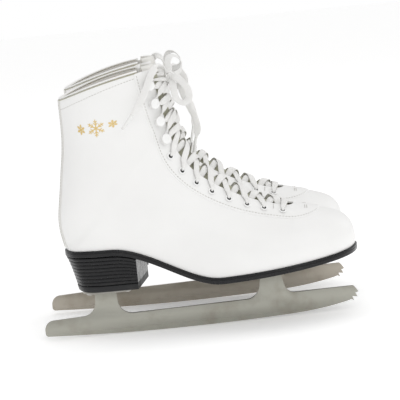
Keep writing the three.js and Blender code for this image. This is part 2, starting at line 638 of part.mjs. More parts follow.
const runnerUnder = (x) => (x - ROCKER_X) ** 2 / (2 * ROCKER_RADIUS) + Math.max(0, x - SPIN_X) ** 2 / (2 * SPIN_RADIUS);

// Points of a closed outline with its corners rounded. A corner is [x, z] or [x, z, radius].
function rounded(corners) {
  const points = [];
  corners.forEach(([x, z, radius], i) => {
    const p = new THREE.Vector2(x, z);
    if (!radius) return points.push(p);
    const to = (k) => new THREE.Vector2(...corners.at(k % corners.length).slice(0, 2)).sub(p).normalize();
    const [a, b] = [to(i - 1), to(i + 1)];
    const half = Math.acos(clamp(a.dot(b), -1, 1)) / 2;
    const reach = radius / Math.tan(half);
    const centre = a.clone().add(b).normalize().multiplyScalar(radius / Math.sin(half)).add(p);
    const from = a.multiplyScalar(reach).add(p).sub(centre);
    const till = b.multiplyScalar(reach).add(p).sub(centre);
    const turn = Math.atan2(from.cross(till), from.dot(till));
    const count = Math.max(2, Math.round(Math.abs(turn) / 0.42));
    for (const t of steps(0, 1, count)) points.push(from.clone().rotateAround(new THREE.Vector2(), turn * t).add(centre));
  });
  return points;
}

function blade() {
  const heelTop = PLATE_LEVEL - CLEARANCE;
  const toeTop = (x) => soleUnder(x) - 2 * CLEARANCE - PLATE_THICKNESS;
  const half = STANCHION_WIDTH / 2;
  const [heel, toe] = [HEEL_STANCHION_X, TOE_STANCHION_X];
  const front = RUNNER_HEIGHT + 4.5;
  const under = steps(TAIL_X + 5, TOE_X - 12, 18).map((x) => [x, runnerUnder(x)]);
  const pick = [[-8, 10.6], [-5.5, 9.2], [-7, 13.2], [-2, 12.6], [-4, 16.3], [-0.9, 17.2], [-2.6, 20]];
  const corners = [
    [TAIL_X, runnerUnder(TAIL_X), 3],
    ...under,
    ...pick.map(([x, z]) => [TOE_X + x, z]),
    [TOE_X - 5, front + 0.6, 3],
    [toe + half + 5, front, STANCHION_FILLET * 0.7],
    [toe + half - 1.5, toeTop(toe + half)],
    [toe - half + 2, toeTop(toe - half)],
    [toe - half - 4, RUNNER_HEIGHT + 2.2, STANCHION_FILLET],
    [heel + half + 3, RUNNER_HEIGHT, STANCHION_FILLET],
    [heel + half - 0.5, heelTop],
    [heel - half, heelTop],
    [heel - half - 1.5, RUNNER_HEIGHT + 1.5, STANCHION_FILLET],
    [TAIL_X, RUNNER_HEIGHT - 0.5, TAIL_RADIUS * 0.6],
  ];
  const shape = new THREE.Shape(rounded(corners));
  const geometry = new THREE.ExtrudeGeometry(shape, { depth: BLADE_THICKNESS, bevelEnabled: false, curveSegments: 1 });
  geometry.translate(0, 0, -BLADE_THICKNESS / 2).rotateX(Math.PI / 2);
  return mergeVertices(bareOf(geometry), 1e-4);
}

function bareOf(geometry) {
  const bare = geometry.clone();
  bare.deleteAttribute("normal");
  bare.deleteAttribute("uv");
  return bare;
}

// Screws of a plate, as [x, y]. Each is a domed head under the plate with a shank up into the sole.
const HEEL_PLATE_X = HEEL_STANCHION_X + 4;
const SOLE_PLATE_X = TOE_STANCHION_X - 20;
const heelPlateScrews = [-17, 17].flatMap((x) => [-15, 15].map((y) => [HEEL_PLATE_X + x, y]));
const solePlateScrews = [-42, 46].flatMap((x) => [-19, 19].map((y) => [SOLE_PLATE_X + x, y]));
const up = new THREE.Vector3(0, 0, 1);

function plateScrews(places, clearance, asHoles = false) {
  const heel = places === heelPlateScrews;
  return places.flatMap(([x, y]) => {
    const under = heel ? PLATE_LEVEL : soleUnder(x) - CLEARANCE - PLATE_THICKNESS;
    const reach = heel ? SCREW_LENGTH : PLATE_THICKNESS + SOLE_THICKNESS - 2;
    const foot = new THREE.Vector3(x, y, under - 0.3);
    const shank = rod(foot, up, reach + (asHoles ? 1 : 0), SCREW_SHANK + clearance, 5);
    const head = rod(new THREE.Vector3(x, y, under + 0.3), up.clone().negate(), SCREW_HEAD_HEIGHT + 0.3, SCREW_HEAD, 5, 2);
    return asHoles ? [shank] : [shank, head];
  });
}

function heelPlate() {
  const half = HEEL_PLATE.length / 2;
  const rows = stripRows(HEEL_PLATE_X - half, HEEL_PLATE_X + half, HEEL_PLATE.width / 2, 3);
  const body = slab(rows, () => PLATE_LEVEL + PLATE_THICKNESS, () => PLATE_LEVEL);
  return joined(body, ...plateScrews(heelPlateScrews, 0));
}

function solePlate() {
  const half = SOLE_PLATE.length / 2;
  const rows = stripRows(SOLE_PLATE_X - half, SOLE_PLATE_X + half, SOLE_PLATE.width / 2, 9);
  const top = (x) => soleUnder(x) - CLEARANCE;
  return joined(slab(rows, top, (x) => top(x) - PLATE_THICKNESS), ...plateScrews(solePlateScrews, 0));
}

// ---------- laces ----------
// A flat lace along its places, each { p, across, width }, where across is the direction of its width.
function ribbon(places, thickness = LACE_THICKNESS) {
  const rings = places.map(({ p, across, width }, i) => {
    const before = (places[i - 1] ?? places[i]).p;
    const after = (places[i + 1] ?? places[i]).p;
    const a = p.clone().sub(before).normalize();
    const b = after.clone().sub(p).normalize();
    const along = a.clone().add(b).normalize();
    const w = across.clone().addScaledVector(along, -across.dot(along)).normalize();
    const n = along.clone().cross(w).normalize();
    const stretch = i > 0 && i < places.length - 1 ? 1 / Math.max(0.55, Math.cos(a.angleTo(b) / 2)) : 1;
    const flat = Math.abs(n.dot(b)) > 0.05 ? stretch : 1;
    const [x, y] = [width / 2, (thickness / 2) * flat];
    return [[1, 1], [-1, 1], [-1, -1], [1, -1]].map(([s, t]) => p.clone().addScaledVector(w, s * x).addScaledVector(n, t * y));
  });
  const faces = [rings[0].slice().reverse(), rings.at(-1)];
  for (let i = 0; i + 1 < rings.length; i++) {
    for (let k = 0; k < 4; k++) {
      faces.push([rings[i][k], rings[i][(k + 1) % 4], rings[i + 1][(k + 1) % 4], rings[i + 1][k]]);
    }
  }
  return geometryOf(faces);
}

// A place of the lace over the last: v by its distance from the ridge over the surface, at a height.
function lacePlace(u, side, distance, height, width, turn = 0) {
  const v = side * vAt(u, Math.abs(distance));
  const p = onLast(u, v, -height);
  const along = onLast(Math.min(u + 0.1, COLLAR), v).sub(onLast(u - 0.1, v)).normalize();
  return { p, across: along.lerp(normalOn(u, v), turn).normalize(), width };
}

const OVER_FLANGE = facingTop + FLANGE_GAP + FLANGE_THICKNESS + LACE_THICKNESS / 2 + 0.35;
const UNDER_STAY = -(STAY + LACE_THICKNESS / 2 + 0.4);
const OVER_FACING = facingTop + LACE_THICKNESS / 2 + 0.9;
const CROSSING = [1.9, 3.9]; // heights of the two halves where they cross over the tongue
const AT_HOOK = facingTop + (FLANGE_GAP + FLANGE_THICKNESS + HOOK_REACH) / 2;

// One half of the lace from its first eyelet, on the given side, to the knot.
function laceHalf(startSide, high) {
  const places = [];
  const add = (...args) => places.push(lacePlace(...args));
  const height = CROSSING[high ? 1 : 0];
  const out = (u) => throatHalf(u) + EYELET_INSET;
  for (let i = 0; i < EYELETS; i++) {
    const side = startSide * (i % 2 ? -1 : 1);
    const [u, next] = [LACING[i], LACING[i + 1]];
    const along = next - u;
    if (i > 0) {
      add(u - 0.02, side, out(u) - 3, UNDER_STAY, LACE_BUNCHED);
      add(u, side, out(u), UNDER_STAY + 0.1, LACE_BUNCHED);
      add(u, side, out(u), OVER_FLANGE - 0.1, LACE_BUNCHED);
      add(u + 0.02, side, out(u) - 3.4, OVER_FLANGE, LACE_BUNCHED * 1.5);
      add(u + along * 0.18, side, throatHalf(u) + 1.5, OVER_FACING, LACE_WIDTH);
    } else {
      add(u, side, out(u) - 3.4, OVER_FLANGE, LACE_BUNCHED * 1.5);
      add(u, side, out(u), OVER_FLANGE - 0.1, LACE_BUNCHED);
      add(u, side, out(u), UNDER_STAY + 0.1, LACE_BUNCHED);
      add(u + along * 0.06, side, out(u) - 3, UNDER_STAY, LACE_BUNCHED);
      add(u + along * 0.18, side, throatHalf(u) + 0.6, -1.5, LACE_WIDTH * 0.8);
    }
    add(u + along * 0.36, side, 5.2, height, LACE_WIDTH);
    add(u + along * 0.5, side, 0, height, LACE_WIDTH);
    add(u + along * 0.64, -side, 5.2, height, LACE_WIDTH);
    if (i + 1 < EYELETS) add(u + along * 0.82, -side, throatHalf(next) + 0.8, -1.5, LACE_WIDTH * 0.8);
    else add(u + along * 0.8, -side, throatHalf(next) + 1, OVER_FACING, LACE_WIDTH * 0.8);
  }
  for (let i = EYELETS; i < EYELETS + HOOKS; i++) {
    const side = startSide * (i % 2 ? -1 : 1);
    const u = LACING[i];
    const next = LACING[i + 1] ?? u + 0.6;
    const ring = HOOK_NECK + LACE_THICKNESS / 2 + 0.6;
    const speed = onLast(u + 0.1, 0.3).distanceTo(onLast(u - 0.1, 0.3)) / 0.2;
    const du = ring / speed;
    add(u - du * 1.2, side, out(u) - 1.5, AT_HOOK, LACE_BUNCHED, 1);
    add(u - du * 0.9, side, out(u) + ring * 1.1, AT_HOOK, LACE_BUNCHED, 1);
    add(u + du * 0.9, side, out(u) + ring * 1.1, AT_HOOK, LACE_BUNCHED, 1);
    add(u + du * 1.2, side, out(u) - 1.5, AT_HOOK, LACE_BUNCHED, 1);
    if (i + 1 === EYELETS + HOOKS) break;
    add(u + (next - u) * 0.3, side, throatHalf(u) - 1, high ? height : 2.9, LACE_WIDTH * 0.9);
    add(u + (next - u) * 0.42, side, 5.2, height, LACE_WIDTH);
    add(u + (next - u) * 0.5, side, 0, height, LACE_WIDTH);
    add(u + (next - u) * 0.58, -side, 5.2, height, LACE_WIDTH);
    add(u + (next - u) * 0.7, -side, throatHalf(u) - 1, high ? height : 2.9, LACE_WIDTH * 0.9);
  }
  return places;
}

const KNOT_U = COLLAR - 1.05;
const KNOT_HEIGHT = 8.5;

function lace() {
  const low = laceHalf(1, false);
  const high = laceHalf(-1, true);
  const u = LACING[0];
  const bar = [lacePlace(u - 0.05, 1, 5, 3.2, LACE_WIDTH), lacePlace(u - 0.05, 1, 0, 3.2, LACE_WIDTH)];
  bar.push(lacePlace(u - 0.05, -1, 5, 3.2, LACE_WIDTH));
  const knot = onLast(KNOT_U, 0, -KNOT_HEIGHT);
  const end = (side) => ({ p: knot.clone().add(new THREE.Vector3(-1, side * 2, -1)), across: up, width: 4 });
  const route = [end(-1), ...low.reverse(), ...bar, ...high, end(1)];
  return { route, knot };
}

function laceBody() {
  const { route, knot } = lace();
  const bulge = new THREE.SphereGeometry(5, 7, 5).scale(0.8, 1.35, 1).translate(knot.x, knot.y, knot.z);
  return joined(ribbon(route), bulge);
}

// The free ends of the laces, as points from the knot: [x forwards, y inwards, z up].
const BOW = {
  lace_bow_inner: [
    [-0.5, 7.2, 1.9], [0.5, 12, 6], [0, 18, 12.5], [3, 23, 17.5], [8, 27, 17], [12.5, 29, 11], [12, 27, 4.5],
    [8, 20, 1.5], [4.5, 13, 0.6], [2.5, 8, -0.4],
  ],
  lace_bow_outer: [
    [1.5, -6.6, 0.6], [5, -12, 1], [11, -16, -4], [15.5, -20, -11], [15.5, -24, -19], [10, -27, -22], [4.5, -24, -17.5],
    [3, -17, -10], [2.5, -11, -4.5], [2.2, -7.4, -1.6],
  ],
  lace_end_outer: [
    [-2.5, -6.4, 2.2], [-4.5, -12, 9], [-9, -19, 12.5], [-14, -28, 9], [-18.5, -36, 1.5], [-23, -41, -8], [-29, -45, -17.5],
    [-36, -48, -26],
  ],
  lace_end_inner: [
    [4.9, 0.5, -1.5], [8.8, 1, -8], [11.5, 3, -17], [15.5, 5, -28], [20, 6.5, -39], [21.5, 8, -49], [19.5, 10, -58],
  ],
};
const AGLET_LENGTH = 16;
const AGLET_RADIUS = 1.7;

function bow(name) {
  const knot = onLast(KNOT_U, 0, -KNOT_HEIGHT);
  const points = BOW[name].map(([x, y, z]) => new THREE.Vector3(x, y, z).add(knot));
  const curve = new THREE.CatmullRomCurve3(points, false, "centripetal");
  const loop = name.includes("bow");
  const count = loop ? 16 : 10;
  const places = steps(0, 1, count).map((t) => {
    const p = curve.getPoint(t);
    const tangent = curve.getTangent(t);
    const flat = new THREE.Vector3(0, loop ? 0.6 : 0.9, 0.5);
    if (Math.abs(flat.clone().normalize().dot(tangent)) > 0.9) flat.set(1, 0, 0.3);
    return { p, across: flat, width: LACE_WIDTH };
  });
  return { places, end: points.at(-1), direction: curve.getTangent(1) };
}

const bowCord = (name) => ribbon(bow(name).places);

function aglet(name) {
  const { end, direction } = bow(name);
  return rod(end.clone().addScaledVector(direction, CLEARANCE), direction, AGLET_LENGTH, AGLET_RADIUS, 8);
}

// ---------- assembly ----------
const leather = { color: 0xf1f0ec, roughness: 0.5, metalness: 0 };
const lace_cotton = { color: 0xf4f3f0, roughness: 0.9, metalness: 0 };
const FINISHES = {
  upper: leather,
  lining: { color: 0xd9cfae, roughness: 0.85, metalness: 0 },
  heel_counter: { color: 0x9a8f78, roughness: 0.9, metalness: 0 },
  toe_puff: { color: 0x9a8f78, roughness: 0.9, metalness: 0 },
  insole_board: { color: 0x8a6a48, roughness: 0.9, metalness: 0 },
  footbed: { color: 0xcfc6a8, roughness: 0.9, metalness: 0 },
  facing_outer: leather,
  facing_inner: leather,
  back_strap: leather,
  collar_binding: { color: 0xb9b79f, roughness: 0.7, metalness: 0 },
  tongue: { color: 0xa9a58a, roughness: 0.9, metalness: 0 },
  hardware_outer: { color: 0xf5f5f3, roughness: 0.35, metalness: 0 },
  hardware_inner: { color: 0xf5f5f3, roughness: 0.35, metalness: 0 },
  lace: lace_cotton,
  lace_bow_inner: lace_cotton,
  lace_bow_outer: lace_cotton,
  lace_end_inner: lace_cotton,
  lace_end_outer: lace_cotton,
  aglet_inner: { color: 0xeeeeea, roughness: 0.3, metalness: 0 },
  aglet_outer: { color: 0xeeeeea, roughness: 0.3, metalness: 0 },
  outsole: { color: 0x121213, roughness: 0.22, metalness: 0 },
  shank: { color: 0x7b7d80, roughness: 0.4, metalness: 1 },
  heel_block: { color: 0x131314, roughness: 0.22, metalness: 0 },
  top_lift: { color: 0x18181a, roughness: 0.5, metalness: 0 },
  heel_plate: { color: 0xb5b1a8, roughness: 0.35, metalness: 1 },
  sole_plate: { color: 0xb5b1a8, roughness: 0.35, metalness: 1 },
  blade: { color: 0xb5b1a8, roughness: 0.32, metalness: 1 },
};

// Moves every free vertex of a geometry to its place in the skate, mirrored for the left one.
function placed(geometry, side) {
  const bare = bareOf(geometry.index ? geometry.toNonIndexed() : geometry);
  const moved = bare.clone().scale(1, side, 1).translate(0, (side * SKATE_SPACING) / -2, 0);
  if (side < 0) {
    const a = moved.attributes.position.array;
    for (let i = 0; i < a.length; i += 9) {
      for (let k = 0; k < 3; k++) [a[i + 3 + k], a[i + 6 + k]] = [a[i + 6 + k], a[i + 3 + k]];
    }
  }
  const merged = mergeVertices(moved, 1e-4);
  merged.computeVertexNormals();
  return merged;
}

function skatePieces() {
  return {
    upper: upper(),
    lining: lining(),
    heel_counter: heelCounter(),
    toe_puff: toePuff(),
    insole_board: insoleBoard(),
    footbed: footbed(),
    facing_outer: facing(-1),
    facing_inner: facing(1),
    back_strap: backStrap(),
    collar_binding: collarBinding(),
    tongue: tongue(),
    hardware_outer: eyeletRow(-1),
    hardware_inner: eyeletRow(1),
    lace: laceBody(),
    lace_bow_inner: bowCord("lace_bow_inner"),
    lace_bow_outer: bowCord("lace_bow_outer"),
    lace_end_inner: bowCord("lace_end_inner"),
    lace_end_outer: bowCord("lace_end_outer"),
    aglet_inner: aglet("lace_end_inner"),
    aglet_outer: aglet("lace_end_outer"),
    outsole: outsole(),
    shank: shank(),
    heel_block: heelBlock(),
    top_lift: topLift(),
    heel_plate: heelPlate(),
    sole_plate: solePlate(),
    blade: blade(),
  };
}

const pair = new THREE.Group();
pair.name = "figure_skates";
const pieces = skatePieces();
for (const [prefix, side] of [["right", 1], ["left", -1]]) {
  for (const [name, geometry] of Object.entries(pieces)) {
    const material = new THREE.MeshStandardMaterial(FINISHES[name]);
    const mesh = new THREE.Mesh(placed(geometry, side), material);
    mesh.name = `${prefix}_${name}`;
    pair.add(mesh);
  }
}

export default pair;
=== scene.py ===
"""A pair of white lace-up figure skates on blackened soles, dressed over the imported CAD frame.

Shapes are worked out in millimetres in one skate's own frame, which is the right skate's: toes towards
+X, outer side towards -Y, ice at Z = 0. A Side places them in the row frame, in metres, and mirrors
them for the left skate.
"""

import json
import logging
import math
from dataclasses import dataclass, field
from enum import Enum
from functools import cached_property, lru_cache

import bmesh
import bpy
import numpy as np
from mathutils import Matrix, Vector

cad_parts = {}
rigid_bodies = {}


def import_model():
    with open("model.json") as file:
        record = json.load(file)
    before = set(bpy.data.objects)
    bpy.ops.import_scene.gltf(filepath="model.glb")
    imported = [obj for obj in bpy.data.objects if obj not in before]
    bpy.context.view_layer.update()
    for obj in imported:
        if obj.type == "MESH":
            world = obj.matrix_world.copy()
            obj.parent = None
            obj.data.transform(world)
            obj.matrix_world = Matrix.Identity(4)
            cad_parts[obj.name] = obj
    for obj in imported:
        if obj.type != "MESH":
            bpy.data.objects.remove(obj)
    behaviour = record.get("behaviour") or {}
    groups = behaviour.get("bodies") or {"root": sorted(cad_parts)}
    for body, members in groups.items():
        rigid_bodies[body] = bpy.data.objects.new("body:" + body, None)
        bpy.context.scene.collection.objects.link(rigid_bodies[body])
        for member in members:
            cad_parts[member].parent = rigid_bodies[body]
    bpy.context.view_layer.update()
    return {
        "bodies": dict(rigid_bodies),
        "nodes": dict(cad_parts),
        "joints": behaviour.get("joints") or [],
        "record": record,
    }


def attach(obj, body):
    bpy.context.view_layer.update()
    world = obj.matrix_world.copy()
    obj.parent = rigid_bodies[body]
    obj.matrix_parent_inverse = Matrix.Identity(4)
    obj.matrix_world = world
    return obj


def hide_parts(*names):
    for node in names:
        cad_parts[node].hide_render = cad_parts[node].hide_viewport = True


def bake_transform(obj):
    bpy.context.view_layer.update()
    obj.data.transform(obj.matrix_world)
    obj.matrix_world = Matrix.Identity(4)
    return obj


LOG = logging.getLogger("skates")
MM = 0.001
STANCE = 55.0  # from the pair's middle to the middle of each skate


class Side(Enum):
    """Which foot a skate is for. The value is the sign that mirrors Y."""

    RIGHT = 1
    LEFT = -1

    @property
    def word(self) -> str:
        """The name's first word on every piece of this skate."""
        return self.name.lower()

    def place(self, points: np.ndarray) -> np.ndarray:
        """Moves points from the skate's own frame to the row frame.

        Args:
            points: Points in millimetres, as an array whose last axis is x, y, z.

        Returns:
            The points in metres.
        """
        moved = np.array(points, float)
        moved[..., 1] = self.value * (moved[..., 1] - STANCE)
        return moved * MM

    def turn(self, vectors: np.ndarray) -> np.ndarray:
        """Mirrors directions for this side, without moving them."""
        return np.array(vectors, float) * np.array([1.0, self.value, 1.0])


class Flank(Enum):
    """The outer or inner side of one skate. The value is the sign of v on the last."""

    OUTER = -1
    INNER = 1

    @property
    def word(self) -> str:
        """The last word in the name of a piece on this flank."""
        return self.name.lower()


# ---- meshes


@dataclass
class Solid:
    """Points in millimetres and the faces between them, with an optional coordinate along each point."""

    points: np.ndarray
    faces: list
    cloth: np.ndarray | None = None

    def __add__(self, other: "Solid") -> "Solid":
        """Both solids as one set of points and faces."""
        moved = [tuple(i + len(self.points) for i in f) for f in other.faces]
        cloth = None
        if self.cloth is not None and other.cloth is not None:
            cloth = np.vstack([self.cloth, other.cloth])
        return Solid(np.vstack([self.points, other.points]), self.faces + moved, cloth)

    def volume(self, points: np.ndarray) -> float:
        """Six times the signed volume that the faces enclose, with the given places for the points."""
        total = 0.0
        for count in {len(f) for f in self.faces}:
            corners = points[np.array([f for f in self.faces if len(f) == count])]
            for i in range(1, count - 1):
                total += float(np.sum(corners[:, 0] * np.cross(corners[:, i], corners[:, i + 1])))
        return total

    def to_object(self, name: str, side: Side, finish: bpy.types.Material, crease: float = 38.0) -> bpy.types.Object:
        """Makes a smooth-shaded object at the origin, with its place in its mesh.

        Args:
            name: The object's name, without the skate's word.
            side: The skate that it belongs to.
            finish: Its material.
            crease: Edges sharper than this many degrees stay sharp.

        Returns:
            The new object, linked into the scene.
        """
        points = side.place(self.points)
        faces = self.faces if self.volume(points) > 0 else [tuple(reversed(f)) for f in self.faces]
        mesh = bpy.data.meshes.new(f"{side.word}_{name}")
        mesh.from_pydata(points.tolist(), [], faces)
        if self.cloth is not None:
            layer = mesh.uv_layers.new(name="Cloth")
            corners = np.empty(len(mesh.loops), np.int32)
            mesh.loops.foreach_get("vertex_index", corners)
            layer.data.foreach_set("uv", self.cloth[corners].astype(np.float32).ravel())
        worked = bmesh.new()
        worked.from_mesh(mesh)
        bmesh.ops.remove_doubles(worked, verts=worked.verts, dist=2e-7)
        worked.to_mesh(mesh)
        worked.free()
        mesh.shade_smooth()
        mesh.set_sharp_from_angle(angle=math.radians(crease))
        mesh.materials.append(finish)
        made = bpy.data.objects.new(f"{side.word}_{name}", mesh)
        bpy.context.scene.collection.objects.link(made)
        return made


def meets(a: np.ndarray, b: np.ndarray) -> bool:
    """True if two points are the same place."""
    return float(np.sum((a - b) ** 2)) < 1e-8


def shell(outer: np.ndarray, inner: np.ndarray) -> Solid:
    """The closed solid between two grids of points with the same rows and columns.

    Args:
        outer: The outer skin, rows by columns by 3.
        inner: The inner skin, in the same order.

    Returns:
        The solid, left open where a border meets the opposite one or comes together in a point.
    """
    rows, columns = outer.shape[0], outer.shape[1]
    points = np.vstack([outer.reshape(-1, 3), inner.reshape(-1, 3)])
    step = rows * columns
    faces = []
    for i in range(rows - 1):
        for j in range(columns - 1):
            a, b = i * columns + j, (i + 1) * columns + j
            faces.append((a, b, b + 1, a + 1))
            faces.append((step + a, step + a + 1, step + b + 1, step + b))
        first, last = i * columns, i * columns + columns - 1
        if meets(outer[i, 0], outer[i, -1]) and meets(outer[i + 1, 0], outer[i + 1, -1]):
            continue
        faces.append((first, step + first, step + first + columns, first + columns))
        faces.append((last, last + columns, step + last + columns, step + last))
    for i, turned in ((0, False), (rows - 1, True)):
        if all(meets(p, outer[i, 0]) for p in outer[i]):
            continue
        for j in range(columns - 1):
            a = i * columns + j
            face = (a, a + 1, step + a + 1, step + a)
            faces.append(tuple(reversed(face)) if turned else face)
    return Solid(points, faces)


def loft(rings: list, caps: bool = True, closed: bool = True) -> Solid:
    """A solid through rings of points that all have the same count.

    Args:
        rings: Arrays of points, in order.
        caps: Whether both ends are closed with one face.
        closed: Whether each ring closes on itself.

    Returns:
        The solid.
    """
    count = len(rings[0])
    faces = []
    for k in range(len(rings) - 1):
        for i in range(count if closed else count - 1):
            j = (i + 1) % count
            faces.append((k * count + i, (k + 1) * count + i, (k + 1) * count + j, k * count + j))
    if caps:
        faces.append(tuple(range(count)))
        faces.append(tuple((len(rings) - 1) * count + i for i in reversed(range(count))))
    return Solid(np.vstack(rings), faces)


def unit(vectors: np.ndarray) -> np.ndarray:
    """The vectors at length one."""
    return vectors / np.maximum(np.linalg.norm(vectors, axis=-1, keepdims=True), 1e-12)


def smooth(t: np.ndarray | float) -> np.ndarray:
    """A smooth step from 0 to 1."""
    t = np.minimum(np.maximum(t, 0.0), 1.0)
    return t * t * (3 - 2 * t)


def spline(values: np.ndarray, samples: int, tension: float = 0.5) -> np.ndarray:
    """A centripetal Catmull-Rom line through rows of values whose first three columns are a point.

    Args:
        values: The rows that the line goes through.
        samples: How many steps it makes between two rows.
        tension: 0.5 follows the classic spline, and less cuts the corners.

    Returns:
        The finer rows, the first and last ones unchanged.
    """
    values = np.asarray(values, float)
    padded = np.vstack([2 * values[0] - values[1], values, 2 * values[-1] - values[-2]])
    gaps = np.maximum(np.linalg.norm(np.diff(padded[:, :3], axis=0), axis=1) ** 0.5, 1e-3)
    out = []
    for i in range(1, len(padded) - 2):
        a, b, c, d = padded[i - 1 : i + 3]
        before, here, after = gaps[i - 1], gaps[i], gaps[i + 1]
        m1 = (c - b) / here - (c - a) / (before + here) + (b - a) / before
        m2 = (d - c) / after - (d - b) / (here + after) + (c - b) / here
        m1, m2 = m1 * here * tension * 2, m2 * here * tension * 2
        for t in np.arange(samples) / samples:
            h = 2 * t**3 - 3 * t**2
            out.append((h + 1) * b + (t**3 - 2 * t**2 + t) * m1 - h * c + (t**3 - t**2) * m2)
    out.append(values[-1])
    return np.array(out)


def ribbon(centre: np.ndarray, across: np.ndarray, width: np.ndarray, thickness: float, sides: int = 14) -> Solid:
    """A flat woven lace along a line.

    Args:
        centre: The line's points.
        across: The direction of the lace's width at each point.
        width: Its width at each point.
        thickness: Its thickness in the middle.
        sides: How many points its section has.

    Returns:
        The lace, with a coordinate along and across it in millimetres for its weave.
    """
    along = unit(np.gradient(centre, axis=0))
    flat = unit(across - np.sum(across * along, axis=1, keepdims=True) * along)
    up = np.cross(along, flat)
    turns = np.arange(sides) / sides * 2 * math.pi
    x = np.sign(np.cos(turns)) * np.abs(np.cos(turns)) ** 0.55
    y = np.sign(np.sin(turns)) * np.abs(np.sin(turns)) ** 0.8
    gone = np.concatenate([[0], np.cumsum(np.linalg.norm(np.diff(centre, axis=0), axis=1))])
    rings, cloth = [], []
    for p, f, u, w, g in zip(centre, flat, up, width, gone):
        full = thickness * (1 + 0.35 * max(0.0, 1 - w / 6.4))
        rings.append(p + np.outer(x * w / 2, f) + np.outer(y * full / 2, u))
        cloth.append(np.column_stack([np.full(sides, g), x * w / 2]))
    solid = loft(rings)
    solid.cloth = np.vstack(cloth)
    return solid


def frames(centre: np.ndarray, first: np.ndarray, twist: float = 0.0) -> np.ndarray:
    """Directions across a line that turn with it as little as they can, plus an even twist.

    Args:
        centre: The line's points.
        first: The direction at its start.
        twist: How far it has turned round the line at the end, in radians.

    Returns:
        One direction for each point.
    """
    along = unit(np.gradient(centre, axis=0))
    current = unit(first - np.dot(first, along[0]) * along[0])
    out = []
    for i, t in enumerate(along):
        current = unit(current - np.dot(current, t) * t)
        angle = twist * i / (len(along) - 1)
        out.append(current * math.cos(angle) + np.cross(t, current) * math.sin(angle))
    return np.array(out)


# ---- the last


STATION_FIELDS = ("ridge_x", "rise", "edge_x", "half", "seam", "girth", "crown")


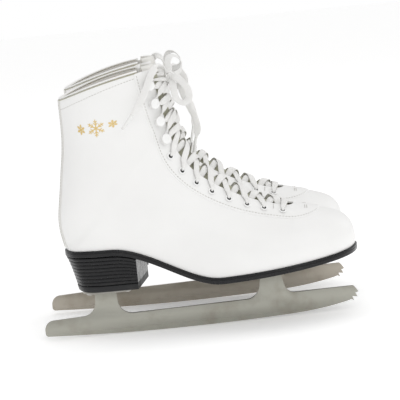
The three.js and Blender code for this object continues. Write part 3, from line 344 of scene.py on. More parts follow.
@dataclass(frozen=True)
class Last:
    """The foot shape that the leather is pulled over, as stations from the toe to the collar."""

    length: float = 266.0
    ball_width: float = 93.0
    boot_height: float = 192.0
    heel_rise: float = 33.5
    toe_spring: float = 12.5
    back_height: float = 137.0
    toe_swing: float = 5.0
    collar_dome: float = 3.5
    ball_level: float = 51.0
    arch_end: float = 0.526
    seat_end: float = 0.15
    heel_x: float = -119.9
    fullness: float = 0.85
    collar: int = 17
    heel_back: int = 13
    throat_foot: float = 4.7
    throat_gap: float = 19.0
    ridge_x: tuple = (1.0, 1.001, 0.99, 0.954, 0.872, 0.762, 0.653, 0.556, 0.485, 0.444, 0.424, 0.414, 0.408,
                      0.404, 0.398, 0.389, 0.379, 0.37)
    rise: tuple = (0.0, 0.05, 0.112, 0.164, 0.214, 0.266, 0.338, 0.43, 0.52, 0.6, 0.67, 0.728, 0.765, 0.79,
                   0.828, 0.88, 0.938, 1.0)
    edge_x: tuple = (1.0, 0.985, 0.953, 0.901, 0.811, 0.698, 0.57, 0.458, 0.345, 0.233, 0.128, 0.045, 0.012,
                     0.0, -0.014, 0.004, 0.026, 0.028)
    half: tuple = (0.0, 0.345, 0.592, 0.785, 0.942, 1.0, 0.946, 0.824, 0.688, 0.641, 0.62, 0.487, 0.275, 0.0,
                   0.0, 0.0, 0.0, 0.0)
    seam: tuple = (0.0,) * 14 + (0.18, 0.43, 0.72, 1.0)
    girth: tuple = (0.0, 0.355, 0.612, 0.812, 0.975, 1.036, 0.996, 0.903, 0.813, 0.77, 0.744, 0.731, 0.727,
                    0.725, 0.728, 0.74, 0.755, 0.765)
    crown: tuple = (0.85, 0.85, 0.85, 0.9, 1.0, 1.25, 1.35, 1.35, 1.25, 1.12, 1.03, 1.0, 1.0, 1.0, 1.0, 1.0,
                    1.0, 1.0)

    def edge_level(self, x: np.ndarray) -> np.ndarray:
        """Height of the sole's edge at x, a share of the last's length."""
        heel = smooth((self.arch_end - x) / (self.arch_end - self.seat_end))
        spring = np.maximum(0.0, (x - 0.49) / 0.51) ** 1.3
        return self.ball_level + self.heel_rise * heel + self.toe_spring * spring

    @cached_property
    def splines(self) -> np.ndarray:
        """Cubic coefficients of each station field between its stations.

        The plan is mirrored past the toe and past the heel, so that both ends come out round.

        Returns:
            An array of fields by spans by four coefficients.
        """
        out = np.zeros((len(STATION_FIELDS), self.collar, 4))
        for row, key in enumerate(STATION_FIELDS):
            table = getattr(self, key)
            mirror = {"edge_x": 1, "ridge_x": 1, "half": -1, "girth": -1, "rise": -1}.get(key, 0)
            for i in range(self.collar):
                near = []
                for k in range(i - 1, i + 3):
                    if k < 0 and mirror:
                        near.append(mirror * table[-k])
                    elif k > self.heel_back > i and key in ("half", "edge_x"):
                        near.append((-1 if key == "half" else 1) * table[2 * self.heel_back - k])
                    else:
                        near.append(table[min(max(k, 0), self.collar)])
                a, b, c, d = near
                out[row, i] = (b, 0.5 * (c - a), 0.5 * (2 * a - 5 * b + 4 * c - d), 0.5 * (3 * (b - c) + d - a))
        return out

    def section(self, u: np.ndarray) -> dict:
        """The last's section at each station: its ends on the ridge and the edge, and its shape."""
        u = np.asarray(u, float)
        span = np.minimum(np.maximum(np.floor(u).astype(int), 0), self.collar - 1)
        t = u - span
        c = self.splines[:, span]
        values = c[..., 0] + t * (c[..., 1] + t * (c[..., 2] + t * c[..., 3]))
        ridge_x, rise, edge_x, half, seam, girth, crown = values
        seam = np.maximum(0.0, seam)
        girth = np.maximum(1e-9, girth * self.ball_width / 2)
        half = np.where(u >= self.heel_back, 0.0, np.minimum(np.maximum(half * self.ball_width / 2, 0), girth))
        heel = smooth((self.arch_end - ridge_x) / (self.arch_end - self.seat_end))
        foot = self.edge_level(ridge_x) - self.heel_rise * heel
        return {
            "rx": self.heel_x + ridge_x * self.length,
            "rz": foot + rise * self.boot_height,
            "ex": self.heel_x + edge_x * self.length,
            "ez": self.edge_level(edge_x) + seam * self.back_height,
            "girth": girth,
            "crown": crown,
            "end": math.pi - np.arcsin(np.minimum(half / girth, 1) ** (1 / self.fullness)),
            "dome": self.collar_dome * smooth((u - self.heel_back) / (self.collar - self.heel_back)),
        }

    def half_point(self, s: dict, t: np.ndarray) -> np.ndarray:
        """Points of one half of the last, with t from 0 on the ridge to 1 on the edge."""
        folded = np.where(t < 0, -t, np.where((t > 1) & (s["end"] > 3.1), 2 - t, t))
        angle = np.clip(folded, 0, 1) * s["end"]
        power = np.where(angle < math.pi / 2, s["crown"], self.fullness)
        y = s["girth"] * np.maximum(0.0, np.sin(angle)) ** power
        down = (1 - np.cos(angle)) / (1 - np.cos(s["end"]))
        x = s["rx"] + (s["ex"] - s["rx"]) * down
        z = s["rz"] + (s["ez"] - s["rz"]) * down + s["dome"] * np.sin(angle) ** 2
        return np.stack([x, np.where(folded == t, y, -y), z], axis=-1)

    def on(self, u: np.ndarray, v: np.ndarray, depth: np.ndarray | float = 0.0, lift: float = 0.0) -> np.ndarray:
        """Points under or over the last's surface.

        Args:
            u: Stations, from 0 at the toe to the collar.
            v: From -1 on the outer edge over 0 on the ridge to 1 on the inner edge.
            depth: How far under the surface, negative above it.
            lift: How much higher the floor of the layer lies.

        Returns:
            The points, in the skate's own frame.
        """
        u, v, depth = np.broadcast_arrays(np.asarray(u, float), np.asarray(v, float), np.asarray(depth, float))
        t, side, step = np.abs(v), np.where(v < 0, -1.0, 1.0), 0.02
        here = self.section(np.clip(u, 0.02, self.collar))
        p = self.half_point(self.section(np.clip(u, 0, self.collar)), t)
        ahead = np.where((t > 1 - step) & (here["end"] < 3.1), 0.0, step)
        across = self.half_point(here, t + ahead) - self.half_point(here, t - step)
        along = self.half_point(self.section(np.minimum(u + 0.05, self.collar)), t)
        along = along - self.half_point(self.section(np.maximum(u - 0.05, 0)), t)
        normal = unit(np.cross(across, along))
        normal = np.where((u < 0.01)[..., None], np.array([1.0, 0.0, 0.0]), normal)
        p = p - normal * depth[..., None]
        floor = self.edge_level((p[..., 0] - self.heel_x) / self.length) + depth + lift
        sunk = np.where(depth > 0, np.maximum(0.0, floor - p[..., 2]), 0.0)[..., None]
        leaning = np.stack([-0.2 * normal[..., 0], -0.2 * normal[..., 1], np.ones_like(t)], axis=-1)
        p = p + sunk * leaning
        toe = np.clip((p[..., 0] - self.heel_x) / self.length, 0, 1.2)
        swing = self.toe_swing * np.maximum(0.0, (toe - 0.55) / 0.45) ** 2
        return np.stack([p[..., 0], side * p[..., 1] + swing, p[..., 2]], axis=-1)

    def normal(self, u: np.ndarray, v: np.ndarray) -> np.ndarray:
        """The outward normal of the last."""
        return unit(self.on(u, v, -1.0) - self.on(u, v, 0.0))

    def v_at(self, u: np.ndarray, distance: np.ndarray) -> np.ndarray:
        """The v of points on the inner side at a distance over the surface from the ridge."""
        u, distance = np.broadcast_arrays(np.asarray(u, float), np.asarray(distance, float))
        vs = np.linspace(0, 1, 81)
        out = np.empty(u.shape)
        flat_u, flat_d, flat_out = u.ravel(), distance.ravel(), out.ravel()
        wanted, where = np.unique(flat_u, return_inverse=True)
        lines = self.on(wanted[:, None], vs[None, :])
        gone = np.cumsum(np.linalg.norm(np.diff(lines, axis=1), axis=2), axis=1)
        gone = np.hstack([np.zeros((len(wanted), 1)), gone])
        for k in range(len(flat_u)):
            flat_out[k] = np.interp(flat_d[k], gone[where[k]], vs)
        return flat_out.reshape(u.shape)

    def throat_half(self, u: np.ndarray) -> np.ndarray:
        """Half of the opening between the facings, over the surface."""
        return self.throat_gap * (0.6 + 0.4 * smooth((np.asarray(u, float) - self.throat_foot) / 4.5))

    def level_at(self, x: np.ndarray) -> np.ndarray:
        """Height of the sole's edge at x in millimetres."""
        return self.edge_level((np.asarray(x, float) - self.heel_x) / self.length)

    def outline(self, u: np.ndarray, side: int, extra: float) -> np.ndarray:
        """Plan points of the sole's outline, set outwards by extra."""
        u = np.asarray(u, float)
        p = self.on(u, float(side))
        along = self.on(np.minimum(u + 0.05, self.heel_back), 1.0) - self.on(np.maximum(u - 0.05, 0), 1.0)
        plan = unit(along[..., :2])
        plan = np.where((u < 0.05)[..., None], np.array([0.0, 1.0]), plan)
        plan = np.where((u > self.heel_back - 0.05)[..., None], np.array([0.0, -1.0]), plan)
        return np.stack([p[..., 0] + plan[..., 1] * extra, p[..., 1] - side * plan[..., 0] * extra], axis=-1)

    @lru_cache(maxsize=64)
    def station_at(self, x: float) -> float:
        """The station whose outline lies at x."""
        low, high = 0.0, float(self.heel_back)
        for _ in range(30):
            middle = (low + high) / 2
            if self.on(middle, 1.0)[0] > x:
                low = middle
            else:
                high = middle
        return low


LAST = Last()


# ---- finishes


class Paint:
    """A material under construction, with short ways to add the nodes that the finishes share."""

    def __init__(self, name: str) -> None:
        """Starts a material with one principled shader.

        Args:
            name: The material's name.
        """
        self.material = bpy.data.materials.new(name)
        self.material.use_nodes = True
        self.nodes = self.material.node_tree.nodes
        self.links = self.material.node_tree.links
        self.shader = next(n for n in self.nodes if n.type == "BSDF_PRINCIPLED")
        self.height = None

    def set(self, **values: object) -> "Paint":
        """Sets the shader's own sockets, with underscores for the spaces in their names."""
        for key, value in values.items():
            self.shader.inputs[key.replace("_", " ")].default_value = value
        return self

    def link(self, source: object, target: object) -> None:
        """Joins two sockets."""
        self.links.new(source, target)

    def math(self, operation: str, a: object, b: object = 0.0) -> object:
        """A math node on sockets or numbers."""
        node = self.nodes.new("ShaderNodeMath")
        node.operation = operation
        for i, value in enumerate((a, b)):
            if isinstance(value, (int, float)):
                node.inputs[i].default_value = value
            else:
                self.link(value, node.inputs[i])
        return node.outputs[0]

    def place(self, scale: tuple = (1.0, 1.0, 1.0), map_name: str = "") -> object:
        """Coordinates in metres on the object, or on a named map, scaled along each axis."""
        if map_name:
            source = self.nodes.new("ShaderNodeUVMap")
            source.uv_map = map_name
            output = source.outputs["UV"]
        else:
            output = self.nodes.new("ShaderNodeTexCoord").outputs["Object"]
        mapping = self.nodes.new("ShaderNodeMapping")
        mapping.inputs["Scale"].default_value = scale
        self.link(output, mapping.inputs["Vector"])
        return mapping.outputs["Vector"]

    def noise(self, where: object, scale: float, detail: float = 3.0, rough: float = 0.55) -> object:
        """A noise value from 0 to 1."""
        node = self.nodes.new("ShaderNodeTexNoise")
        node.inputs["Scale"].default_value = scale
        node.inputs["Detail"].default_value = detail
        node.inputs["Roughness"].default_value = rough
        self.link(where, node.inputs["Vector"])
        return node.outputs[0]

    def cells(self, where: object, scale: float) -> object:
        """Distance to the nearest cell's centre."""
        node = self.nodes.new("ShaderNodeTexVoronoi")
        node.inputs["Scale"].default_value = scale
        self.link(where, node.inputs["Vector"])
        return node.outputs["Distance"]

    def between(self, value: object, low: float, high: float, to_low: float, to_high: float) -> object:
        """A value mapped from one range to another, and kept in it."""
        node = self.nodes.new("ShaderNodeMapRange")
        for key, number in zip(("From Min", "From Max", "To Min", "To Max"), (low, high, to_low, to_high)):
            node.inputs[key].default_value = number
        self.link(value, node.inputs["Value"])
        return node.outputs["Result"]

    def blend(self, factor: object, first: object, second: object) -> object:
        """A colour between two colours or sockets."""
        node = self.nodes.new("ShaderNodeMix")
        node.data_type = "RGBA"
        self.link(factor, node.inputs[0])
        for socket, value in ((node.inputs[6], first), (node.inputs[7], second)):
            if isinstance(value, tuple):
                socket.default_value = (*value, 1.0)
            else:
                self.link(value, socket)
        return node.outputs[2]

    def bump(self, height: object, distance: float, strength: float = 1.0) -> None:
        """Adds a relief over the earlier ones.

        Args:
            height: A value from 0 to 1.
            distance: How many metres the value 1 stands for.
            strength: How much of it shows.
        """
        node = self.nodes.new("ShaderNodeBump")
        node.inputs["Distance"].default_value = distance
        node.inputs["Strength"].default_value = strength
        self.link(height, node.inputs["Height"])
        if self.height is not None:
            self.link(self.height, node.inputs["Normal"])
        self.height = node.outputs["Normal"]
        self.link(self.height, self.shader.inputs["Normal"])

    def colour(self, socket: object) -> None:
        """Sends a colour to the shader."""
        self.link(socket, self.shader.inputs["Base Color"])

    def roughness(self, socket: object) -> None:
        """Sends a roughness to the shader."""
        self.link(socket, self.shader.inputs["Roughness"])


@dataclass(frozen=True)
class Leather:
    """Smooth, finely grained leather with a soft polish."""

    name: str
    tint: tuple
    deep: tuple
    grain: float = 1150.0
    relief: float = 0.00006
    gloss: tuple = (0.36, 0.52)

    def make(self) -> bpy.types.Material:
        """Builds the material."""
        paint = Paint(self.name)
        where = paint.place()
        paint.set(Specular_IOR_Level=0.5, Coat_Weight=0.12, Coat_Roughness=0.32, Sheen_Weight=0.04)
        mottle = paint.noise(where, 22.0, 4.0)
        paint.colour(paint.blend(paint.between(mottle, 0.3, 0.7, 0.0, 1.0), self.tint, self.deep))
        paint.roughness(paint.between(paint.noise(where, 60.0, 3.0), 0.3, 0.7, *self.gloss))
        pores = paint.cells(where, self.grain)
        fine = paint.noise(where, self.grain * 2.2, 2.0)
        paint.bump(paint.math("ADD", paint.math("MULTIPLY", pores, 0.7), paint.math("MULTIPLY", fine, 0.5)),
                   self.relief, 0.55)
        paint.bump(paint.noise(where, 17.0, 2.0, 0.45), 0.0011, 0.3)
        return paint.material


@dataclass(frozen=True)
class Woven:
    """A flat cotton lace, woven in a herringbone that follows the lace."""

    name: str
    tint: tuple
    shade: tuple
    rib: float = 1.05

    def make(self) -> bpy.types.Material:
        """Builds the material."""
        paint = Paint(self.name)
        where = paint.place((1.0, 1.0, 1.0), "Cloth")
        split = paint.nodes.new("ShaderNodeSeparateXYZ")
        paint.link(where, split.inputs[0])
        along, across = split.outputs[0], split.outputs[1]
        wave = 2 * math.pi / self.rib
        folded = paint.math("PINGPONG", across, 1.6)
        twill = paint.math("SINE", paint.math("MULTIPLY", paint.math("ADD", along, folded), wave))
        picks = paint.math("SINE", paint.math("MULTIPLY", across, wave * 1.7))
        weave = paint.math("ADD", paint.math("MULTIPLY", twill, 0.32), paint.math("MULTIPLY", picks, 0.16))
        weave = paint.math("ADD", weave, 0.5)
        paint.set(Roughness=0.86, Sheen_Weight=0.25, Sheen_Roughness=0.5, Specular_IOR_Level=0.25)
        wear_and_shade_patches = paint.noise(paint.place(), 90.0, 3.0)
        # The weave's hollows are painted darker towards the shade colour as painted shade; the large noise makes this
        # stronger in some patches and weaker in others, like uneven wear.
        dark = paint.math("MULTIPLY", paint.between(weave, 0.1, 0.8, 1.0, 0.0), paint.between(wear_and_shade_patches, 0.3, 0.7, 0.4, 1.0))
        paint.colour(paint.blend(dark, self.tint, self.shade))
        paint.bump(weave, 0.00022, 0.8)
        paint.bump(paint.noise(paint.place(), 3200.0, 2.0), 0.00006, 0.4)
        return paint.material


@dataclass(frozen=True)
class Felt:
    """A matted or close-woven soft fabric."""

    name: str
    tint: tuple
    deep: tuple
    thread: float = 1500.0
    relief: float = 0.00018

    def make(self) -> bpy.types.Material:
        """Builds the material."""
        paint = Paint(self.name)
        where = paint.place()
        paint.set(Roughness=0.92, Sheen_Weight=0.35, Sheen_Roughness=0.55, Specular_IOR_Level=0.2)
        fibre = paint.noise(where, self.thread, 4.0, 0.7)
        long_fibre = paint.noise(paint.place((1.0, 0.35, 0.5)), self.thread * 0.6, 2.0)
        mottle = paint.noise(where, 55.0, 3.0)
        factor = paint.math("ADD", paint.math("MULTIPLY", mottle, 0.5), paint.math("MULTIPLY", fibre, 0.5))
        paint.colour(paint.blend(paint.between(factor, 0.35, 0.65, 0.0, 1.0), self.tint, self.deep))
        paint.bump(paint.math("ADD", fibre, long_fibre), self.relief, 0.7)
        return paint.material


@dataclass(frozen=True)
class Lacquer:
    """Polished, hard and dark leather or rubber, with scuffs along its skin."""

    name: str
    tint: tuple
    scuffed: tuple
    gloss: tuple = (0.2, 0.38)
    coat: float = 0.14

    def make(self) -> bpy.types.Material:
        """Builds the material."""
        paint = Paint(self.name)
        where = paint.place()
        paint.set(Specular_IOR_Level=0.25, Coat_Weight=self.coat, Coat_Roughness=0.16)
        streak = paint.noise(paint.place((40.0, 40.0, 420.0)), 1.0, 5.0, 0.65)
        spots = paint.noise(where, 130.0, 4.0, 0.6)
        streaked = paint.between(streak, 0.5, 0.75, 0.0, 1.0)
        wear = paint.math("MULTIPLY", streaked, paint.between(spots, 0.45, 0.7, 0.0, 1.0))
        paint.colour(paint.blend(wear, self.tint, self.scuffed))
        paint.roughness(paint.between(spots, 0.3, 0.75, *self.gloss))
        paint.bump(paint.noise(paint.place((300.0, 300.0, 1400.0)), 1.0, 3.0), 0.00006, 0.4)
        paint.bump(spots, 0.00012, 0.3)
        return paint.material


@dataclass(frozen=True)
class Steel:
    """Satin-plated steel with fine brushing, faint stains and a ground running edge."""

    name: str
    tint: tuple
    stained: tuple
    brushed: tuple = (30.0, 900.0, 900.0)
    gloss: tuple = (0.27, 0.42)

    def make(self) -> bpy.types.Material:
        """Builds the material."""
        paint = Paint(self.name)
        where = paint.place()
        paint.set(Metallic=1.0)
        brush = paint.noise(paint.place(self.brushed), 1.0, 4.0, 0.6)
        stain = paint.noise(where, 34.0, 5.0, 0.6)
        specks = paint.cells(where, 260.0)
        patch = paint.between(stain, 0.48, 0.72, 0.0, 0.85)
        patch = paint.math("MAXIMUM", patch, paint.between(specks, 0.03, 0.1, 0.5, 0.0))
        paint.colour(paint.blend(patch, self.tint, self.stained))
        split = paint.nodes.new("ShaderNodeSeparateXYZ")
        paint.link(where, split.inputs[0])
        ground = paint.between(split.outputs[2], 0.0050, 0.0056, 0.6, 1.0)
        base = paint.between(paint.math("ADD", paint.math("MULTIPLY", brush, 0.6), paint.math("MULTIPLY", stain, 0.4)),
                             0.3, 0.7, *self.gloss)
        paint.roughness(paint.math("MULTIPLY", base, ground))
        paint.bump(brush, 0.00003, 0.35)
        return paint.material


@dataclass(frozen=True)
class Enamel:
    """Smooth paint or clear plastic, with a little orange peel."""

    name: str
    tint: tuple
    chipped: tuple
    rough: float = 0.24
    coat: float = 0.6
    metal: float = 0.0

    def make(self) -> bpy.types.Material:
        """Builds the material."""
        paint = Paint(self.name)
        where = paint.place()
        paint.set(Metallic=self.metal, Coat_Weight=self.coat, Coat_Roughness=0.12, Roughness=self.rough)
        wear = paint.between(paint.noise(where, 210.0, 5.0, 0.65), 0.62, 0.74, 0.0, 0.7)
        paint.colour(paint.blend(wear, self.tint, self.chipped))
        paint.bump(paint.noise(where, 620.0, 2.0), 0.00004, 0.35)
        return paint.material


class Finishes:
    """Every finish of the skates, each built once."""

    def __init__(self) -> None:
        """Builds the materials."""
        self.leather = Leather("white_leather", (0.86, 0.858, 0.848), (0.835, 0.831, 0.82)).make()
        # The back strap's leather is tinted grey: painted shade along the back of the boot.
        self.strap = Leather("strap_leather", (0.74, 0.735, 0.71), (0.66, 0.655, 0.625), gloss=(0.42, 0.6)).make()
        self.binding = Leather("binding_leather", (0.47, 0.46, 0.37), (0.38, 0.37, 0.29), gloss=(0.5, 0.65)).make()
        self.lining = Leather("lining_leather", (0.66, 0.58, 0.42), (0.58, 0.5, 0.35), 700.0, 0.00012,
                              (0.6, 0.75)).make()
        self.footbed = Felt("footbed_felt", (0.62, 0.57, 0.44), (0.52, 0.47, 0.36)).make()
        self.tongue = Felt("tongue_felt", (0.5, 0.495, 0.385), (0.39, 0.385, 0.29), 1100.0, 0.0003).make()
        self.tongue_face = Leather("tongue_leather", (0.8, 0.79, 0.76), (0.72, 0.71, 0.67)).make()
        self.lace = Woven("lace_cotton", (0.9, 0.895, 0.88), (0.72, 0.71, 0.69)).make()
        self.thread = Felt("stitch_thread", (0.62, 0.61, 0.58), (0.5, 0.49, 0.46), 4000.0, 0.00004).make()
        self.enamel = Enamel("white_enamel", (0.87, 0.87, 0.86), (0.66, 0.65, 0.62)).make()
        # A near-black finish for the discs in the eyelets: painted shade in place of real holes.
        self.bore = Enamel("bore_shadow", (0.012, 0.012, 0.012), (0.03, 0.028, 0.025), 0.7, 0.0).make()
        self.aglet = Enamel("aglet_film", (0.8, 0.8, 0.78), (0.6, 0.58, 0.54), 0.15, 0.8).make()
        self.gold = Enamel("gold_foil", (0.75, 0.56, 0.24), (0.52, 0.4, 0.2), 0.34, 0.1, 0.85).make()
        self.sole = Lacquer("black_sole_lacquer", (0.006, 0.006, 0.007), (0.036, 0.034, 0.032)).make()
        self.lift = Lacquer("black_rubber", (0.014, 0.014, 0.015), (0.06, 0.056, 0.052), (0.4, 0.6), 0.1).make()
        self.steel = Steel("blade_steel", (0.385, 0.38, 0.335), (0.295, 0.277, 0.232)).make()
        # The left skate's blade, the far one, gets a warmer, browner tint as painted shade and painted reflection.
        self.steel_far_shaded = Steel("blade_steel_painted_shade", (0.42, 0.385, 0.33), (0.31, 0.275, 0.22)).make()
        # The plates' steel is tinted darker than the blade's as painted shade under the sole and heel.
        self.plate = Steel("plate_steel", (0.33, 0.32, 0.295), (0.24, 0.22, 0.19), (700.0, 60.0, 700.0)).make()
        self.screw = Steel("screw_steel", (0.66, 0.65, 0.63), (0.45, 0.43, 0.4), (400.0, 400.0, 400.0)).make()
        self.board = Felt("fibre_board", (0.3, 0.19, 0.1), (0.22, 0.14, 0.075), 900.0).make()
        self.stiffener = Felt("stiffener_board", (0.36, 0.32, 0.25), (0.28, 0.25, 0.2), 900.0).make()


# ---- what repeats


class Tree:
    """A Geometry Nodes tree under construction, whose first input is the geometry that it grows on."""

    def __init__(self, name: str, sizes: dict) -> None:
        """Starts a tree.

        Args:
            name: The tree's name.
            sizes: Its named number inputs with their usual values.
        """
        self.group = bpy.data.node_groups.new(name, "GeometryNodeTree")
        face = self.group.interface
        face.new_socket("Geometry", in_out="INPUT", socket_type="NodeSocketGeometry")
        self.identifiers = {}
        for key, value in sizes.items():
            socket = face.new_socket(key, in_out="INPUT", socket_type="NodeSocketFloat")
            socket.default_value = value
            self.identifiers[key] = socket.identifier
        for key in ("Material", "Second Material"):
            socket = face.new_socket(key, in_out="INPUT", socket_type="NodeSocketMaterial")
            self.identifiers[key] = socket.identifier
        face.new_socket("Geometry", in_out="OUTPUT", socket_type="NodeSocketGeometry")
        self.start = self.group.nodes.new("NodeGroupInput")
        self.end = self.group.nodes.new("NodeGroupOutput")

    def add(self, kind: str, inputs: dict | None = None, **settings: object) -> bpy.types.Node:
        """Adds a node.

        Args:
            kind: The node's type.
            inputs: Numbers, vectors or sockets for its inputs, by name or place.
            settings: Its own properties.

        Returns:
            The node.
        """
        node = self.group.nodes.new(kind)
        for key, value in settings.items():
            setattr(node, key, value)
        for key, value in (inputs or {}).items():
            if isinstance(value, bpy.types.NodeSocket):
                self.group.links.new(value, node.inputs[key])
            else:
                node.inputs[key].default_value = value
        return node

    def size(self, key: str) -> bpy.types.NodeSocket:
        """The socket of a named input."""
        return self.start.outputs[key]

    def triple(self, x: object, y: object, z: object) -> bpy.types.NodeSocket:
        """A vector from numbers or sockets."""
        return self.add("ShaderNodeCombineXYZ", {0: x, 1: y, 2: z}).outputs[0]

    def times(self, a: object, b: object) -> bpy.types.NodeSocket:
        """A product of numbers or sockets."""
        return self.add("ShaderNodeMath", {0: a, 1: b}, operation="MULTIPLY").outputs[0]

    def plus(self, a: object, b: object) -> bpy.types.NodeSocket:
        """A sum of numbers or sockets."""
        return self.add("ShaderNodeMath", {0: a, 1: b}, operation="ADD").outputs[0]

    def moved(self, geometry: object, place: object = (0, 0, 0), scale: object = (1, 1, 1)) -> bpy.types.NodeSocket:
        """A geometry scaled and then moved."""
        inputs = {"Geometry": geometry, "Translation": place, "Scale": scale}
        return self.add("GeometryNodeTransform", inputs).outputs[0]

    def dressed(self, geometry: object, key: str = "Material") -> bpy.types.NodeSocket:
        """A geometry in one of the two materials."""
        return self.add("GeometryNodeSetMaterial", {"Geometry": geometry, "Material": self.size(key)}).outputs[0]

    def joined(self, *parts: object) -> bpy.types.NodeSocket:
        """Several geometries as one."""
        node = self.add("GeometryNodeJoinGeometry")
        for part in parts:
            self.group.links.new(part, node.inputs[0])
        return node.outputs[0]

    def finish(self, points: object, instance: object, along: object) -> None:
        """Puts the instance on every point, with Z outwards and X along, and ends the tree."""
        turned = self.add("FunctionNodeAxesToRotation", {0: self.stored("out"), 1: along})
        turned.primary_axis, turned.secondary_axis = "Z", "X"
        inputs = {"Points": points, "Instance": instance, "Rotation": turned.outputs[0]}
        placed = self.add("GeometryNodeInstanceOnPoints", inputs)
        real = self.add("GeometryNodeRealizeInstances", {0: placed.outputs[0]})
        shaded = self.add("GeometryNodeSetShadeSmooth", {0: real.outputs[0]})
        self.group.links.new(shaded.outputs[0], self.end.inputs[0])

    def stored(self, name: str) -> bpy.types.NodeSocket:
        """A stored direction of the points."""
        node = self.add("GeometryNodeInputNamedAttribute", {"Name": name}, data_type="FLOAT_VECTOR")
        return node.outputs[0]


class Trees:
    """The trees for stitches, eyelets, hooks and screws, with sizes in metres."""

    def __init__(self) -> None:
        """Builds all four."""
        self.stitch = self.stitches()
        self.eyelet = self.eyelets()
        self.hook = self.hooks()
        self.screw = self.screws()

    def stitches(self) -> Tree:
        """Short, plump threads along a line, a pitch apart."""
        tree = Tree("stitches", {"Pitch": 0.0028, "Length": 0.0021, "Width": 0.0006})
        curve = tree.add("GeometryNodeMeshToCurve", {0: tree.start.outputs[0]})
        line = {0: curve.outputs[0], "Length": tree.size("Pitch")}
        spaced = tree.add("GeometryNodeResampleCurve", line, mode="LENGTH")
        bead = tree.add("GeometryNodeMeshUVSphere", {"Segments": 8, "Rings": 5, "Radius": 1.0})
        half = tree.triple(tree.times(tree.size("Length"), 0.5), tree.times(tree.size("Width"), 0.5),
                           tree.times(tree.size("Width"), 0.42))
        thread = tree.dressed(tree.moved(bead.outputs[0], scale=half))
        tangent = tree.add("GeometryNodeInputTangent").outputs[0]
        tree.finish(spaced.outputs[0], thread, tangent)
        return tree

    def eyelets(self) -> Tree:
        """Rolled rings round a near-black disc, painted shade in place of a real hole."""
        tree = Tree("eyelets", {"Bore": 0.0019, "Flange": 0.0036, "Height": 0.0011})
        middle = tree.times(tree.plus(tree.size("Bore"), tree.size("Flange")), 0.5)
        ring = tree.add("GeometryNodeCurvePrimitiveCircle", {"Resolution": 28, "Radius": middle})
        reach = tree.times(tree.plus(tree.size("Flange"), tree.times(tree.size("Bore"), -1.0)), 0.5)
        roll = tree.add("GeometryNodeCurvePrimitiveCircle", {"Resolution": 12, "Radius": reach})
        swept = tree.add("GeometryNodeCurveToMesh", {0: ring.outputs[0], 1: roll.outputs[0]})
        flange = tree.dressed(tree.moved(swept.outputs[0], scale=(1.0, 1.0, 0.62)))
        # The near-black disc under each ring is painted shade that stands in for the hole.
        bottom = tree.add("GeometryNodeMeshCylinder",
                          {"Vertices": 20, "Radius": tree.plus(tree.size("Bore"), 0.0002), "Depth": 0.0006})
        bore = tree.dressed(tree.moved(bottom.outputs[0], (0, 0, -0.00045)), "Second Material")
        tree.finish(tree.start.outputs[0], tree.joined(flange, bore), tree.stored("along"))
        return tree

    def hooks(self) -> Tree:
        """Round-headed lacing hooks on a neck and a washer."""
        tree = Tree("hooks", {"Head": 0.0048, "Neck": 0.0016, "Base": 0.0034, "Reach": 0.0052})
        ball = tree.add("GeometryNodeMeshUVSphere", {"Segments": 28, "Rings": 14, "Radius": 1.0}).outputs[0]
        reach, head, base = tree.size("Reach"), tree.size("Head"), tree.size("Base")
        cap = tree.moved(ball, tree.triple(0.0, 0.0, tree.plus(reach, 0.0006)), tree.triple(head, head, 0.00105))
        washer = tree.moved(ball, tree.triple(0.0, 0.0, 0.0002), tree.triple(base, base, 0.0008))
        neck = tree.add("GeometryNodeMeshCylinder",
                        {"Vertices": 16, "Radius": tree.size("Neck"), "Depth": reach}).outputs[0]
        neck = tree.moved(neck, tree.triple(0.0, 0.0, tree.times(reach, 0.5)))
        whole = tree.dressed(tree.joined(cap, washer, neck))
        tree.finish(tree.start.outputs[0], whole, tree.stored("along"))
        return tree

    def screws(self) -> Tree:
        """Domed screw heads with a crossed slot."""
        tree = Tree("screws", {"Head": 0.0036, "Height": 0.0014, "Slot": 0.0009})
        head = tree.size("Head")
        ball = tree.add("GeometryNodeMeshUVSphere", {"Segments": 24, "Rings": 12, "Radius": 1.0}).outputs[0]
        dome = tree.moved(ball, scale=tree.triple(head, head, tree.size("Height")))
        long = tree.times(head, 1.25)
        slots = []
        for size in (tree.triple(long, tree.size("Slot"), 0.0016), tree.triple(tree.size("Slot"), long, 0.0016)):
            cube = tree.add("GeometryNodeMeshCube", {"Size": size}).outputs[0]
            slots.append(tree.moved(cube, tree.triple(0.0, 0.0, tree.size("Height"))))
        cutter = tree.add("GeometryNodeMeshBoolean", operation="DIFFERENCE")
        tree.group.links.new(dome, cutter.inputs[0])
        for slot in slots:
            tree.group.links.new(slot, cutter.inputs[1])
        tree.finish(tree.start.outputs[0], tree.dressed(cutter.outputs[0]), tree.stored("along"))
        return tree


def grow(tree: Tree, name: str, base: bpy.types.Mesh, sizes: dict, finishes: tuple) -> bpy.types.Object:
    """Runs a tree on a mesh and keeps the result as a plain object.

    Args:
        tree: The tree.
        name: The new object's name.
        base: The points or lines that it grows on.
        sizes: Values for its named inputs.
        finishes: One or two materials.

    Returns:
        The new object, linked into the scene.
    """
    seed = bpy.data.objects.new(name + "_seed", base)
    bpy.context.scene.collection.objects.link(seed)
    modifier = seed.modifiers.new("grow", "NODES")
    modifier.node_group = tree.group
    for key, value in sizes.items():
        modifier[tree.identifiers[key]] = value
    for key, value in zip(("Material", "Second Material"), finishes):
        modifier[tree.identifiers[key]] = value
    bpy.context.view_layer.update()
    evaluated = seed.evaluated_get(bpy.context.evaluated_depsgraph_get())
    mesh = bpy.data.meshes.new_from_object(evaluated)
    mesh.name = name
    if not mesh.materials:
        for finish in finishes:
            mesh.materials.append(finish)
    bpy.data.objects.remove(seed)
    made = bpy.data.objects.new(name, mesh)
    bpy.context.scene.collection.objects.link(made)
    return made


